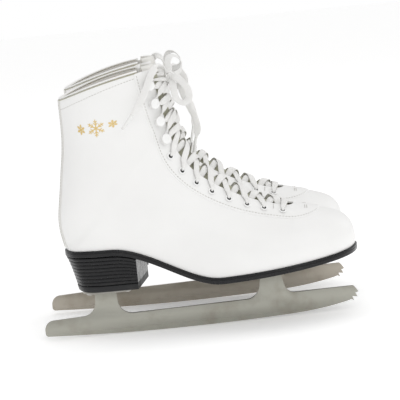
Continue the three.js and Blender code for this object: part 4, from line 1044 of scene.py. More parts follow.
def seeds(side: Side, points: np.ndarray, out: np.ndarray, along: np.ndarray | None = None,
          edges: list | None = None) -> bpy.types.Mesh:
    """A mesh of loose points or lines with their directions, for a tree to grow on.

    Args:
        side: The skate that it belongs to.
        points: Places in millimetres.
        out: The outward direction at each.
        along: Another direction at each.
        edges: Pairs of points that lines run between.

    Returns:
        The mesh, in metres in the row frame.
    """
    mesh = bpy.data.meshes.new("seeds")
    mesh.from_pydata(side.place(points).tolist(), edges or [], [])
    for key, vectors in (("out", out), ("along", along)):
        if vectors is not None:
            attribute = mesh.attributes.new(key, "FLOAT_VECTOR", "POINT")
            attribute.data.foreach_set("vector", side.turn(vectors).astype(np.float32).ravel())
    return mesh


@dataclass
class Bench:
    """What every sub-assembly of one skate is built with."""

    side: Side
    finishes: Finishes
    trees: Trees
    nodes: dict
    body: str = "skates"

    def keep(self, piece: bpy.types.Object, slot: str, *nodes: str, body: str = "") -> bpy.types.Object:
        """Seats a finished piece on its body.

        Args:
            piece: The piece.
            slot: The record's material slot; not used.
            nodes: CAD nodes that it stands for, without the skate's word.
            body: The body that it rides on, the boots' own one if left out.

        Returns:
            The piece.
        """
        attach(piece, body or self.body)
        if nodes:
            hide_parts(*[f"{self.side.word}_{n}" for n in nodes])
        LOG.info("%s: %d faces", piece.name, len(piece.data.polygons))
        return piece

    def sew(self, name: str, lines: list, pitch: float = 2.8, length: float = 2.1, width: float = 0.62) -> None:
        """Sews rows of stitches.

        Args:
            name: The piece's name, without the skate's word.
            lines: Pairs of points and outward directions, one pair for each row.
            pitch: Distance from stitch to stitch in millimetres.
            length: Length of a stitch.
            width: Its thickness.
        """
        points = np.vstack([p for p, _ in lines])
        out = np.vstack([o for _, o in lines])
        edges, start = [], 0
        for p, _ in lines:
            edges += [(start + i, start + i + 1) for i in range(len(p) - 1)]
            start += len(p)
        base = seeds(self.side, points, out, None, edges)
        sizes = {"Pitch": pitch * MM, "Length": length * MM, "Width": width * MM}
        piece = grow(self.trees.stitch, f"{self.side.word}_{name}", base, sizes, (self.finishes.thread,))
        self.keep(piece, "white_leather")


# ---- the boot


@dataclass
class Boot:
    """The leather boot: upper, lining, facings, back strap, collar and everything sewn on it."""

    bench: Bench
    leather: float = 2.0
    lining: float = 2.2
    lining_depth: float = 4.2
    lining_lift: float = 2.15
    facing: float = 1.8
    facing_edge: float = 0.45
    facing_width: float = 19.5
    clearance: float = 0.35
    strap: float = 1.1
    eyelet_inset: float = 10.5
    eyelets: int = 8
    hooks: int = 4
    pitch: float = 16.9
    hook_drop: float = 13.0
    toe_end: float = 0.86

    def rows(self, first: float, last: float, step: float = 0.13) -> np.ndarray:
        """Even stations between two, both kept."""
        return np.linspace(first, last, max(2, int(round((last - first) / step)) + 1))

    def quarter_half(self, u: np.ndarray) -> np.ndarray:
        """How far from the ridge the quarters start: they close in a round end at the throat's foot."""
        t = np.clip((u - LAST.throat_foot) / 0.42, 0, 1)
        full = LAST.throat_half(u) + self.facing_width - 5.0
        return full * np.sqrt(np.maximum(0.0, 1 - (1 - t) ** 2))

    def wrap(self, us: np.ndarray, outer: float, inner: float, lift: float, columns: int) -> Solid:
        """A layer of the boot from one throat edge round under the foot to the other.

        Args:
            us: Its stations.
            outer: Depth of its outer skin.
            inner: Depth of its inner skin.
            lift: How much higher its floor lies.
            columns: Columns on each side.

        Returns:
            The layer.
        """
        start = LAST.v_at(us, self.quarter_half(us))
        start = np.where(us <= LAST.throat_foot, 0.0, start)
        t = np.linspace(0, 1, columns)[None, :]
        half = start[:, None] + (1 - start[:, None]) * t
        vs = np.hstack([-half, half[:, ::-1]])
        grids = [LAST.on(us[:, None], vs, d, lift) for d in (outer, inner)]
        return shell(*grids)

    def build_upper(self) -> None:
        """The white leather upper and the lining inside it."""
        finish = self.bench.finishes
        toe = np.array([0, 0.03, 0.08, 0.15, 0.24, 0.34, 0.46])
        us = np.concatenate([toe, self.rows(0.6, LAST.throat_foot), self.rows(LAST.throat_foot + 0.012, 5.2, 0.05),
                             self.rows(5.3, LAST.collar)])
        upper = self.wrap(us, 0.0, self.leather, 0.0, 34)
        piece = upper.to_object("boot_upper", self.bench.side, finish.leather, 50.0)
        self.bench.keep(piece, "white_leather", "upper")
        rows = us[(us > 0.4) & (us < LAST.collar - 0.1)][::2]
        lining = self.wrap(np.append(rows, LAST.collar - 0.12), self.lining_depth, self.lining_depth + self.lining,
                           self.lining_lift, 18)
        piece = lining.to_object("boot_lining", self.bench.side, finish.lining, 50.0)
        self.bench.keep(piece, "lining_leather", "lining")

    def facing_edges(self, u: np.ndarray, inset: float = 0.0) -> tuple:
        """Distances from the ridge to a facing's inner and outer edge, which close round the throat's foot.

        Args:
            u: Stations.
            inset: How far inside the outer edge is wanted.

        Returns:
            Both distances at each station.
        """
        foot = LAST.throat_foot
        t = np.clip((u - foot) / 0.34, 0, 1)
        inner = LAST.throat_half(u) * np.sqrt(np.maximum(0.0, 1 - (1 - t) ** 2)) + 0.15
        down = np.clip((foot + 0.25 - u) / (self.toe_end + 0.25 - inset / 29.0), 0, 1)
        outer = (LAST.throat_half(u) + self.facing_width - inset) * np.sqrt(np.maximum(0.0, 1 - down**2.2))
        return inner, np.maximum(outer, inner + 0.05)

    def build_facings(self) -> None:
        """The facings with their skived, stitched outer edges, and the stays under them."""
        foot = LAST.throat_foot
        first = foot - self.toe_end
        us = np.concatenate([first + np.array([0.002, 0.012, 0.03, 0.06, 0.1]), self.rows(first + 0.15, foot, 0.07),
                             self.rows(foot + 0.02, foot + 0.4, 0.04), self.rows(foot + 0.5, LAST.collar, 0.13)])
        share = np.array([0, 0.012, 0.035, 0.08, 0.16, 0.28, 0.42, 0.56, 0.7, 0.82, 0.9, 0.95, 0.98, 1.0])
        inner, outer = self.facing_edges(us)
        distance = inner[:, None] + (outer - inner)[:, None] * share[None, :]
        from_throat = distance - inner[:, None]
        to_edge = outer[:, None] - distance
        roll = np.sqrt(np.maximum(0.02, 1 - (1 - np.clip(from_throat / 0.9, 0, 1)) ** 2))
        skived = self.facing_edge + (self.facing - self.facing_edge) * smooth(to_edge / 11.0)
        rolled = np.sqrt(np.maximum(0.05, 1 - (1 - np.clip(to_edge / 0.5, 0, 1)) ** 2))
        closed = (us < foot)[:, None] & np.ones_like(distance, bool)
        height = np.where(closed, skived * rolled, skived * rolled * roll)
        height = height * (0.55 + 0.45 * smooth((us - foot + 0.5) / 0.9))[:, None]
        v = LAST.v_at(np.broadcast_to(us[:, None], distance.shape), distance)
        for flank in Flank:
            top = LAST.on(us[:, None], flank.value * v, -self.clearance * 0.3 - height)
            under = LAST.on(us[:, None], flank.value * v, 0.12)
            solid = shell(top, under)
            piece = solid.to_object(f"facing_leather_{flank.word}", self.bench.side, self.bench.finishes.leather, 60.0)
            self.bench.keep(piece, "white_leather", f"facing_{flank.word}")
        rows = self.rows(self.lacing[0] - 0.2, min(self.lacing[-1] + 0.3, LAST.collar), 0.2)
        edges = [LAST.throat_half(rows) + self.eyelet_inset + d for d in (-3.5, 3.5)]
        half = np.stack([LAST.v_at(rows, e) for e in edges], axis=1)
        for flank in Flank:
            grids = [LAST.on(rows[:, None], flank.value * half, d) for d in (0.3, 1.0)]
            piece = shell(*grids).to_object(f"stay_{flank.word}", self.bench.side, self.bench.finishes.lining)
            self.bench.keep(piece, "lining_leather")

    @cached_property
    def lacing(self) -> np.ndarray:
        """Stations of the eyelets and hooks, from the lowest eyelet up."""
        us = np.linspace(LAST.collar, LAST.throat_foot, 401)
        line = LAST.on(us, LAST.v_at(us, LAST.throat_half(us) + self.eyelet_inset))
        gone = np.concatenate([[0], np.cumsum(np.linalg.norm(np.diff(line, axis=0), axis=1))])
        wanted = self.hook_drop + self.pitch * np.arange(self.eyelets + self.hooks)
        return us[np.searchsorted(gone, wanted)][::-1]

    def surface(self, us: np.ndarray, flank: Flank, distance: np.ndarray, height: float) -> tuple:
        """Points over the surface and their outward directions."""
        v = flank.value * LAST.v_at(us, distance)
        return LAST.on(us, v, -height), LAST.normal(us, v)

    def build_hardware(self) -> None:
        """The eyelets and the hooks."""
        finish = self.bench.finishes
        top = self.facing + self.clearance
        for flank in Flank:
            us = self.lacing
            distance = LAST.throat_half(us) + self.eyelet_inset
            v = flank.value * LAST.v_at(us, distance)
            out = LAST.normal(us, v)
            along = unit(LAST.on(us + 0.05, v) - LAST.on(us - 0.05, v))
            points = LAST.on(us, v, -top - 0.1)
            n = self.eyelets
            base = seeds(self.bench.side, points[:n], out[:n], along[:n])
            name = f"{self.bench.side.word}_eyelets_{flank.word}"
            piece = grow(self.bench.trees.eyelet, name, base, {}, (finish.enamel, finish.bore))
            self.bench.keep(piece, "white_fitting", f"hardware_{flank.word}")
            base = seeds(self.bench.side, points[n:], out[n:], along[n:])
            name = f"{self.bench.side.word}_hooks_{flank.word}"
            piece = grow(self.bench.trees.hook, name, base, {"Head": 0.0047}, (finish.enamel,))
            self.bench.keep(piece, "white_fitting")

    def build_strap(self) -> None:
        """The strap over the back seam, with rolled edges."""
        us = self.rows(LAST.heel_back + 0.12, LAST.collar, 0.09)
        reach = 0.085 * (1 - 0.1 * smooth((us - LAST.heel_back) / 4))
        share = np.array([0, 0.03, 0.08, 0.2, 0.4, 0.6, 0.8, 1.0])
        half = 1 - reach[:, None] * (1 - share[None, :])
        vs = np.hstack([-half, half[:, ::-1][:, 1:]])
        rim = np.minimum(share / 0.12, 1)
        lift = np.sqrt(np.maximum(0.04, 1 - (1 - rim) ** 2))
        lift = np.concatenate([lift, lift[::-1][1:]])[None, :]
        top = LAST.on(us[:, None], vs, -self.clearance * 0.4 - (self.strap - 0.1) * lift)
        under = LAST.on(us[:, None], vs, 0.1)
        # The strap's grey tint is painted shade.
        piece = shell(top, under).to_object("back_strap_leather", self.bench.side, self.bench.finishes.strap, 60.0)
        self.bench.keep(piece, "white_leather", "back_strap")
        lines = []
        for sign in (-1, 1):
            v = sign * (1 - reach * 0.8)
            lines.append((LAST.on(us[2:-2], v[2:-2], -self.strap - 0.1), LAST.normal(us[2:-2], v[2:-2])))
        self.bench.sew("back_strap_stitches", lines)

    def build_collar(self) -> None:
        """The rolled binding on the collar and the stitches under it."""
        u = float(LAST.collar)
        edge = float(LAST.v_at(u, self.quarter_half(np.array(u)) + 1.0))
        half = np.linspace(edge, 1, 60)
        vs = np.concatenate([-half, half[::-1][1:]])
        turns = np.linspace(0, 2 * math.pi, 15)[:-1]
        rings = []
        for a in turns:
            depth = 1.75 + 1.9 * math.sin(a)
            height = 1.1 - 1.0 * math.cos(a)
            ring = LAST.on(u, vs, depth)
            ring[:, 2] += self.clearance + height
            rings.append(ring)
        grid = np.stack(rings, axis=1)
        piece = loft(list(grid)).to_object("collar_roll", self.bench.side, self.bench.finishes.leather, 70.0)
        self.bench.keep(piece, "binding", "collar_binding")
        us = np.full(len(vs), u - 0.3)
        self.bench.sew("collar_stitches", [(LAST.on(us, vs * 0.998, -0.08), LAST.normal(us, vs))])
        line = LAST.on(u, vs, -0.25)
        line[:, 2] -= 0.1
        turns = np.arange(8) / 8 * 2 * math.pi
        out = LAST.normal(np.full(len(vs), u), vs)
        up = np.array([0.0, 0.0, 1.0])
        rings = [line + 0.42 * (math.cos(a) * out + math.sin(a) * up) for a in turns]
        piping = loft(list(np.stack(rings, axis=1)))
        piece = piping.to_object("collar_piping", self.bench.side, self.bench.finishes.binding, 70.0)
        self.bench.keep(piece, "binding")

    def build_stitches(self) -> None:
        """The stitches along the facings and the bar tacks at the throat's foot."""
        foot = LAST.throat_foot
        lines = []
        for flank in Flank:
            us = np.concatenate([self.rows(foot - self.toe_end + 0.07, foot, 0.03),
                                 self.rows(foot + 0.05, 16.75, 0.08)])
            _, outer = self.facing_edges(us, 2.2)
            v = flank.value * LAST.v_at(us, outer)
            height = self.clearance * 0.3 + 0.62 * (0.55 + 0.45 * smooth((us - foot + 0.5) / 0.9)) + 0.12
            lines.append((LAST.on(us, v, -height), LAST.normal(us, v)))
        self.bench.sew("facing_stitches", lines)
        tacks = []
        for flank in Flank:
            for u, start, reach in ((foot - 0.33, 6.0, 7.0), (foot - 0.39, 6.0, 7.0), (foot + 0.62, 15.0, 6.0)):
                us = np.full(8, u)
                points, out = self.surface(us, flank, np.linspace(start, start + reach, 8), 0.0)
                tacks.append((points + out * (1.35 if u < foot else 2.1), out))
        self.bench.sew("bar_tacks", tacks, 1.1, 1.2, 0.7)

    def build_motif(self) -> None:
        """A row of three six-armed foil stars on the outer side of the shaft."""
        u0, v0 = 15.72, -0.63
        base = LAST.on(u0, v0)
        du = (LAST.on(u0 + 0.1, v0) - LAST.on(u0 - 0.1, v0)) / 0.2
        dv = (LAST.on(u0, v0 + 0.01) - LAST.on(u0, v0 - 0.01)) / 0.02
        forward, up = np.array([1.0, 0.0, 0.0]), np.array([0.0, 0.0, 1.0])
        solve = np.linalg.pinv(np.column_stack([du, dv]))

        def place(plan: np.ndarray, height: float) -> np.ndarray:
            """Points of the motif on the leather."""
            delta = (np.outer(plan[:, 0], forward) + np.outer(plan[:, 1], up)) @ solve.T
            return LAST.on(u0 + delta[:, 0], v0 + delta[:, 1], -height)

        strips = []
        for middle, size in (((5.5, 5.0), 1.0), ((-9.5, 3.6), 0.52), ((20.5, 6.4), 0.52)):
            for arm in range(6):
                a = arm * math.pi / 3 + math.pi / 6
                strips.append((middle, a, 0.0, 8.4 * size, 0.0))
                for at, reach in ((3.4 * size, 2.5 * size), (5.7 * size, 2.0 * size)):
                    strips.extend((middle, a, at, reach, s * math.pi / 3.4) for s in (-1, 1))
        whole = None
        for middle, a, at, reach, lean in strips:
            start = np.array(middle) + np.array([math.cos(a), math.sin(a)]) * at
            way = np.array([math.cos(a + lean), math.sin(a + lean)])
            wide = np.array([-way[1], way[0]]) * 0.55
            t = np.linspace(0, 1, 7)[:, None]
            line, reach_out = start + way * reach * t, wide * (1 - 0.35 * t)
            edges = [place(line + reach_out, 0.09), place(line - reach_out, 0.09), place(line - reach_out, 0.01),
                     place(line + reach_out, 0.01)]
            rings = list(np.stack(edges, axis=1))
            strip = loft(rings)
            if strip.volume(strip.points) < 0:
                strip.faces = [tuple(reversed(f)) for f in strip.faces]
            whole = strip if whole is None else whole + strip
        piece = whole.to_object("foil_star", self.bench.side, self.bench.finishes.gold)
        self.bench.keep(piece, "white_leather")
        LOG.info("foil star at %s", np.round(base, 1))

    def build(self) -> None:
        """Builds every piece of the boot."""
        self.build_upper()
        self.build_facings()
        self.build_hardware()
        self.build_strap()
        self.build_collar()
        self.build_stitches()
        self.build_motif()
        self.build_inside()

    def build_inside(self) -> None:
        """The footbed, and finishes for the CAD pieces inside the boot."""
        finish, word = self.bench.finishes, self.bench.side.word
        us = self.rows(0.4, 12.4, 0.3)
        depth = self.lining_depth + self.lining
        sides = []
        for sign in (-1, 1):
            p = LAST.on(us, float(sign), depth)
            sides.append(np.stack([p[:, 0], p[:, 1] - sign * 2.8], axis=1))
        share = np.array([0, 0.03, 0.1, 0.3, 0.5, 0.7, 0.9, 0.97, 1.0])
        plan = sides[0][:, None, :] * (1 - share)[None, :, None] + sides[1][:, None, :] * share[None, :, None]
        under = LAST.level_at(plan[..., 0]) + depth + self.lining_lift + 0.35
        crown = 3.0 - 1.6 * (1 - np.minimum(1, np.minimum(share, 1 - share) / 0.1)) ** 2
        top = np.concatenate([plan, (under + crown[None, :])[..., None]], axis=2)
        bottom = np.concatenate([plan, under[..., None]], axis=2)
        piece = shell(top, bottom).to_object("foot_felt", self.bench.side, finish.footbed)
        self.bench.keep(piece, "foot_felt", "footbed")
        for key, material in (("heel_counter", finish.stiffener), ("toe_puff", finish.stiffener),
                              ("insole_board", finish.board), ("shank", finish.plate)):
            node = self.bench.nodes[f"{word}_{key}"]
            node.data.materials.clear()
            node.data.materials.append(material)


# ---- the tongue


@dataclass
class Tongue:
    """The padded tongue under the laces, sewn in at the throat's foot."""

    bench: Bench
    thick: float = 5.5
    depth: float = 4.1
    crown: float = 3.0
    rise: float = 4.0
    swell: float = 0.9

    def grid(self) -> tuple:
        """The upper and lower skins before the padding swells."""
        root = LAST.throat_foot + 0.16
        us = np.linspace(root, LAST.collar, 88)
        half = LAST.throat_half(us) + 3 + 3 * smooth((us - root) / 4)
        share = np.sin(np.linspace(-1, 1, 25) * math.pi / 2)
        edge = LAST.v_at(us, half)
        vs = edge[:, None] * share[None, :]
        wide = np.abs(share)[None, :] ** 2
        top = self.depth - self.crown * (1 - wide)
        taper = (1 - 0.62 * wide) * (0.55 + 0.45 * smooth((us - root) / 0.8))[:, None]
        upper = LAST.on(us[:, None], vs, top)
        lower = LAST.on(us[:, None], vs, top + self.thick * taper)
        grown = []
        rise = unit(np.array([-0.2, 0.0, 1.0]))
        for skin, other in ((upper, lower), (lower, upper)):
            extra = []
            for step, inset in ((0.4, 0.0), (0.75, 0.1), (1.0, 0.34)):
                row = skin[-1] + rise * self.rise * step
                partner = other[-1] + rise * self.rise * step
                extra.append(row + (partner - row) * inset)
            grown.append(np.concatenate([skin, np.array(extra)], axis=0))
        return grown[0], grown[1]

    def swollen(self, piece: bpy.types.Object) -> None:
        """Lets the padding push the fabric out between its sewn edges, by a cloth simulation.

        Args:
            piece: The tongue, whose mesh is changed.
        """
        mesh = piece.data
        start = np.array([v.co for v in mesh.vertices], float)
        rim = piece.vertex_groups.new(name="rim")
        held = [e.vertices[:] for e in mesh.edges if e.use_edge_sharp]
        rim.add(sorted({i for pair in held for i in pair}), 1.0, "REPLACE")
        cloth = piece.modifiers.new("padding", "CLOTH")
        cloth.settings.quality = 4
        cloth.settings.mass = 0.1
        cloth.settings.use_pressure = True
        cloth.settings.uniform_pressure_force = 2.2
        cloth.settings.tension_stiffness = 18
        cloth.settings.compression_stiffness = 18
        cloth.settings.bending_stiffness = 1.2
        cloth.settings.effector_weights.gravity = 0
        cloth.settings.vertex_group_mass = "rim"
        cloth.collision_settings.use_collision = False
        scene = bpy.context.scene
        for frame in range(1, 13):
            scene.frame_set(frame)
        evaluated = piece.evaluated_get(bpy.context.evaluated_depsgraph_get())
        after = np.array([v.co for v in evaluated.data.vertices], float)
        piece.modifiers.remove(cloth)
        piece.vertex_groups.clear()
        scene.frame_set(1)
        move = after - start
        length = np.maximum(np.linalg.norm(move, axis=1, keepdims=True), 1e-12)
        move = move * np.minimum(1.0, self.swell * MM / length)
        mesh.vertices.foreach_set("co", (start + move).astype(np.float32).ravel())
        mesh.update()
        LOG.info("%s: padding moved up to %.2f mm", piece.name, float(np.linalg.norm(move, axis=1).max() / MM))

    def build(self) -> None:
        """Builds the tongue."""
        side, finish = self.bench.side, self.bench.finishes
        top, under = self.grid()
        piece = shell(top, under).to_object("tongue_pad", side, finish.tongue, 34.0)
        self.swollen(piece)
        piece.data.set_sharp_from_angle(angle=math.radians(60))
        piece.data.materials.append(finish.tongue_face)
        edge = float(side.place(LAST.on(16.45, 0.0, 3.0))[2])
        for face in piece.data.polygons:
            if face.center.z > edge:
                face.material_index = 1
        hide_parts(f"{side.word}_tongue")
        hinge = side.place(LAST.on(LAST.throat_foot + 0.2, 0.0, 3.0))
        further = side.place(LAST.on(LAST.throat_foot + 1.1, 0.0, 3.0))
        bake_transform(piece)
        LOG.info("%s: %d faces", piece.name, len(piece.data.polygons))


# ---- the laces


@dataclass
class Laces:
    """The lace through the eyelets and round the hooks, its knot, and the bow with its aglets."""

    bench: Bench
    boot: Boot
    width: float = 6.4
    bunched: float = 2.6
    thickness: float = 1.2
    facing_top: float = 2.15
    knot_drop: float = 1.05
    knot_height: float = 8.5
    aglet_length: float = 16.0
    aglet_radius: float = 1.7
    bow: dict = field(default_factory=lambda: {
        "lace_bow_inner": [(-0.5, 7.2, 1.9), (0.5, 12, 6), (0, 18, 12.5), (3, 23, 17.5), (8, 27, 17), (12.5, 29, 11),
                           (12, 27, 4.5), (8, 20, 1.5), (4.5, 13, 0.6), (2.5, 8, -0.4)],
        "lace_bow_outer": [(1.5, -6.6, 0.6), (5, -12, 1), (11, -16, -4), (15.5, -20, -11), (15.5, -24, -19),
                           (10, -27, -22), (4.5, -24, -17.5), (3, -17, -10), (2.5, -11, -4.5), (2.2, -7.4, -1.6)],
        "lace_end_outer": [(-2.5, -6.4, 2.2), (-4.5, -12, 9), (-9, -19, 12.5), (-14, -28, 9), (-18.5, -36, 1.5),
                           (-23, -41, -8), (-29, -45, -17.5), (-36, -48, -26)],
        "lace_end_inner": [(4.9, 0.5, -1.5), (8.8, 1, -8), (11.5, 3, -17), (15.5, 5, -28), (20, 6.5, -39),
                           (21.5, 8, -49), (19.5, 10, -58)],
    })

    @property
    def knot(self) -> np.ndarray:
        """The knot's centre."""
        return LAST.on(LAST.collar - self.knot_drop, 0.0, -self.knot_height)

    def spot(self, u: float, side: int, distance: float, height: float, width: float, turn: float = 0.0) -> np.ndarray:
        """A row of the lace's route: its place, the direction of its width, and its width.

        Args:
            u: The station.
            side: -1 for the outer and 1 for the inner side.
            distance: From the ridge over the surface.
            height: Over the surface.
            width: The lace's width there.
            turn: 0 with the width along the throat, 1 with it standing on the leather.

        Returns:
            Seven numbers.
        """
        v = side * float(LAST.v_at(u, abs(distance)))
        p = LAST.on(u, v, -height)
        along = unit(LAST.on(min(u + 0.1, LAST.collar), v) - LAST.on(u - 0.1, v))
        across = unit(along * (1 - turn) + LAST.normal(u, v) * turn)
        return np.concatenate([p, across, [width]])

    def strand(self, start_side: int, high: bool) -> list:
        """One half of the lace, from its lowest eyelet to the knot."""
        rows = []
        stations = self.boot.lacing
        wide, thin = self.width, self.bunched
        over_flange = self.facing_top + 1.75
        under_stay = -2.0
        over_facing = self.facing_top + 0.9
        height = 3.9 if high else 1.9
        bend = 5.2

        def add(*spot: float) -> None:
            """Adds one row."""
            rows.append(self.spot(*spot))

        def gap(u: float) -> float:
            """Distance from the ridge to the facing's edge."""
            return float(LAST.throat_half(u))

        def out(u: float) -> float:
            """Distance from the ridge to the eyelets."""
            return gap(u) + self.boot.eyelet_inset

        count = self.boot.eyelets
        for i in range(count):
            side = start_side * (-1 if i % 2 else 1)
            u, following = stations[i], stations[i + 1]
            along = following - u
            if i > 0:
                add(u - 0.02, side, out(u) - 3, under_stay, thin)
                add(u + 0.01, side, out(u) - 0.9, under_stay + 0.6, thin * 0.8)
                add(u + 0.01, side, out(u) - 0.9, over_flange - 1.0, thin * 0.8)
                add(u + 0.03, side, out(u) - 3.0, over_flange - 0.2, thin * 1.35)
                add(u + along * 0.1, side, out(u) - 6.0, over_facing + 0.2, wide * 0.8)
                add(u + along * 0.18, side, gap(u) + 1.5, over_facing, wide)
            else:
                add(u, side, out(u) - 3.4, over_flange, thin * 1.5)
                add(u, side, out(u) - 0.2, over_flange - 0.7, thin)
                add(u, side, out(u) - 0.2, under_stay + 0.6, thin)
                add(u + along * 0.06, side, out(u) - 3, under_stay, thin)
                add(u + along * 0.18, side, gap(u) + 0.6, -1.5, wide * 0.8)
            add(u + along * 0.36, side, bend, height, wide)
            add(u + along * 0.5, side, 0, height, wide)
            add(u + along * 0.64, -side, bend, height, wide)
            if i + 1 < count:
                add(u + along * 0.82, -side, gap(following) + 0.8, -1.5, wide * 0.8)
            else:
                add(u + along * 0.8, -side, gap(following) + 1, over_facing, wide * 0.8)
        last = count + self.boot.hooks
        at_hook = self.facing_top + 3.4
        for i in range(count, last):
            side = start_side * (-1 if i % 2 else 1)
            u = stations[i]
            following = stations[i + 1] if i + 1 < last else u + 0.6
            ring = 2.7
            speed = float(np.linalg.norm(LAST.on(u + 0.1, 0.3) - LAST.on(u - 0.1, 0.3))) / 0.2
            du = ring / speed
            add(u - du * 1.3, side, out(u) - 3.5, at_hook, thin * 1.25, 0.75)
            add(u - du * 0.9, side, out(u) + ring * 0.9, at_hook - 0.2, thin, 1)
            add(u, side, out(u) + ring * 1.35, at_hook - 0.3, thin, 1)
            add(u + du * 0.9, side, out(u) + ring * 0.9, at_hook - 0.2, thin, 1)
            add(u + du * 1.3, side, out(u) - 3.5, at_hook, thin * 1.25, 0.75)
            if i + 1 == last:
                break
            along = following - u
            side_height = height if high else 2.9
            add(u + along * 0.3, side, gap(u) - 1, side_height, wide * 0.9)
            add(u + along * 0.42, side, bend, height, wide)
            add(u + along * 0.5, side, 0, height, wide)
            add(u + along * 0.58, -side, bend, height, wide)
            add(u + along * 0.7, -side, gap(u) - 1, side_height, wide * 0.9)
        return rows

    def build_held(self) -> None:
        """The laced stretch and the knot."""
        low, high = self.strand(1, False), self.strand(-1, True)
        u = self.boot.lacing[0] - 0.05
        bar = [self.spot(u, 1, 5, 3.2, self.width), self.spot(u, 1, 0, 3.2, self.width),
               self.spot(u, -1, 5, 3.2, self.width)]
        ends = [np.concatenate([self.knot + (-1, s * 2, -1), (0, 0, 1), [4.0]]) for s in (-1, 1)]
        route = np.array([ends[0], *low[::-1], *bar, *high, ends[1]])
        for i in range(1, len(route)):
            if np.dot(route[i, 3:6], route[i - 1, 3:6]) < 0:
                route[i, 3:6] *= -1
        fine = spline(route, 7, 0.42)
        held = ribbon(fine[:, :3], fine[:, 3:6], np.clip(fine[:, 6], 2.2, self.width), self.thickness, 12)
        piece = held.to_object("laced", self.bench.side, self.bench.finishes.lace, 80.0)
        self.bench.keep(piece, "lace_cotton", "lace")
        turns = np.linspace(0, 2 * math.pi, 40)
        centre = self.knot + np.stack([4.3 * np.cos(turns), 0.6 * np.sin(2 * turns), 5.2 * np.sin(turns)], axis=1)
        across = np.tile([0.15, 1.0, 0.1], (len(turns), 1))
        wrap = ribbon(centre, across, np.full(len(turns), 6.6), 1.7, 14)
        core_rings = []
        for t in np.linspace(-1, 1, 15):
            radius = math.sqrt(max(0.02, 1 - t * t))
            ripple = 1 + 0.06 * np.cos(5 * turns[:-1] + 3 * t)
            ring = np.stack([3.9 * radius * np.cos(turns[:-1]) * ripple, np.full(39, 6.9 * t),
                             4.8 * radius * np.sin(turns[:-1]) * ripple], axis=1)
            core_rings.append(self.knot + ring)
        core = loft(core_rings)
        gone = np.repeat(np.linspace(-6.9, 6.9, 15), 39)
        core.cloth = np.column_stack([gone, np.tile(np.linspace(0, 28, 39), 15)])
        for solid in (wrap, core):
            if solid.volume(solid.points) < 0:
                solid.faces = [tuple(reversed(f)) for f in solid.faces]
        piece = (wrap + core).to_object("lace_knot", self.bench.side, self.bench.finishes.lace, 80.0)
        self.bench.keep(piece, "lace_cotton")

    def build_bow(self) -> None:
        """The two loops and the two ends with their aglets."""
        side = self.bench.side
        twists = {"lace_bow_inner": 0.5, "lace_bow_outer": -0.4, "lace_end_outer": 0.7, "lace_end_inner": -0.9}
        for name, offsets in self.bow.items():
            points = self.knot + np.array(offsets, float)
            fine = spline(points, 9)
            loop = "bow" in name
            first = np.array([0.0, 0.6 if loop else 0.9, 0.5])
            along = unit(fine[1] - fine[0])
            if abs(np.dot(unit(first), along)) > 0.9:
                first = np.array([1.0, 0.0, 0.3])
            across = frames(fine, first, twists[name])
            if not loop:
                along = unit(np.gradient(fine, axis=0))
                shown = unit(np.cross(along, np.array([0.35, 1.0, 0.3])))
                shown = shown * np.sign(np.sum(shown[0] * across[0]) or 1.0)
                blend = smooth(np.linspace(0, 4, len(fine)))[:, None]
                across = unit(across * (1 - blend) + shown * blend)
            width = np.full(len(fine), self.width)
            gone = np.linspace(0, 1, len(fine))
            width = width * (0.72 + 0.28 * smooth(gone / 0.12))
            end = 0.16 if loop else 0.1
            floor = 0.72 if loop else 0.5
            width = width * (floor + (1 - floor) * smooth((1 - gone) / end))
            lace = ribbon(fine, across, width, self.thickness, 14)
            piece = lace.to_object(f"{name}_cord", side, self.bench.finishes.lace, 80.0)
            self.bench.keep(piece, "lace_cotton", name)
            path = side.place(fine)
            tips = []
            if not loop:
                tips = [self.build_aglet(name.replace("lace_end", "aglet"), fine)]

    def build_aglet(self, name: str, line: np.ndarray) -> bpy.types.Object:
        """The plastic tip on a lace's end, wrapped tight with a crimped rim.

        Args:
            name: The CAD node that it stands for.
            line: The lace's centreline.

        Returns:
            The tip.
        """
        way = unit(line[-1] - line[-2])
        start = line[-1] - way * 0.2
        first = unit(np.cross(way, np.array([0.0, 0.0, 1.0]) if abs(way[2]) < 0.9 else np.array([1.0, 0.0, 0.0])))
        second = np.cross(way, first)
        turns = np.arange(16) / 16 * 2 * math.pi
        rings = []
        r, n = self.aglet_radius, self.aglet_length
        for at, radius in ((0, 0.6), (0.05, 0.96), (0.8, 1), (1.0, 0.9), (1.25, 0.98), (n * 0.5, 0.96), (n - 1, 0.92),
                           (n - 0.3, 0.84), (n, 0.55)):
            ring = np.outer(np.cos(turns), first) + np.outer(np.sin(turns) * 0.86, second)
            rings.append(start + way * at + ring * r * radius)
        piece = loft(rings).to_object(f"{name}_tip", self.bench.side, self.bench.finishes.aglet)
        return self.bench.keep(piece, "aglet_film", name)

    def build(self) -> None:
        """Builds all of the lace."""
        self.build_held()
        self.build_bow()


# ---- sole, heel and blade


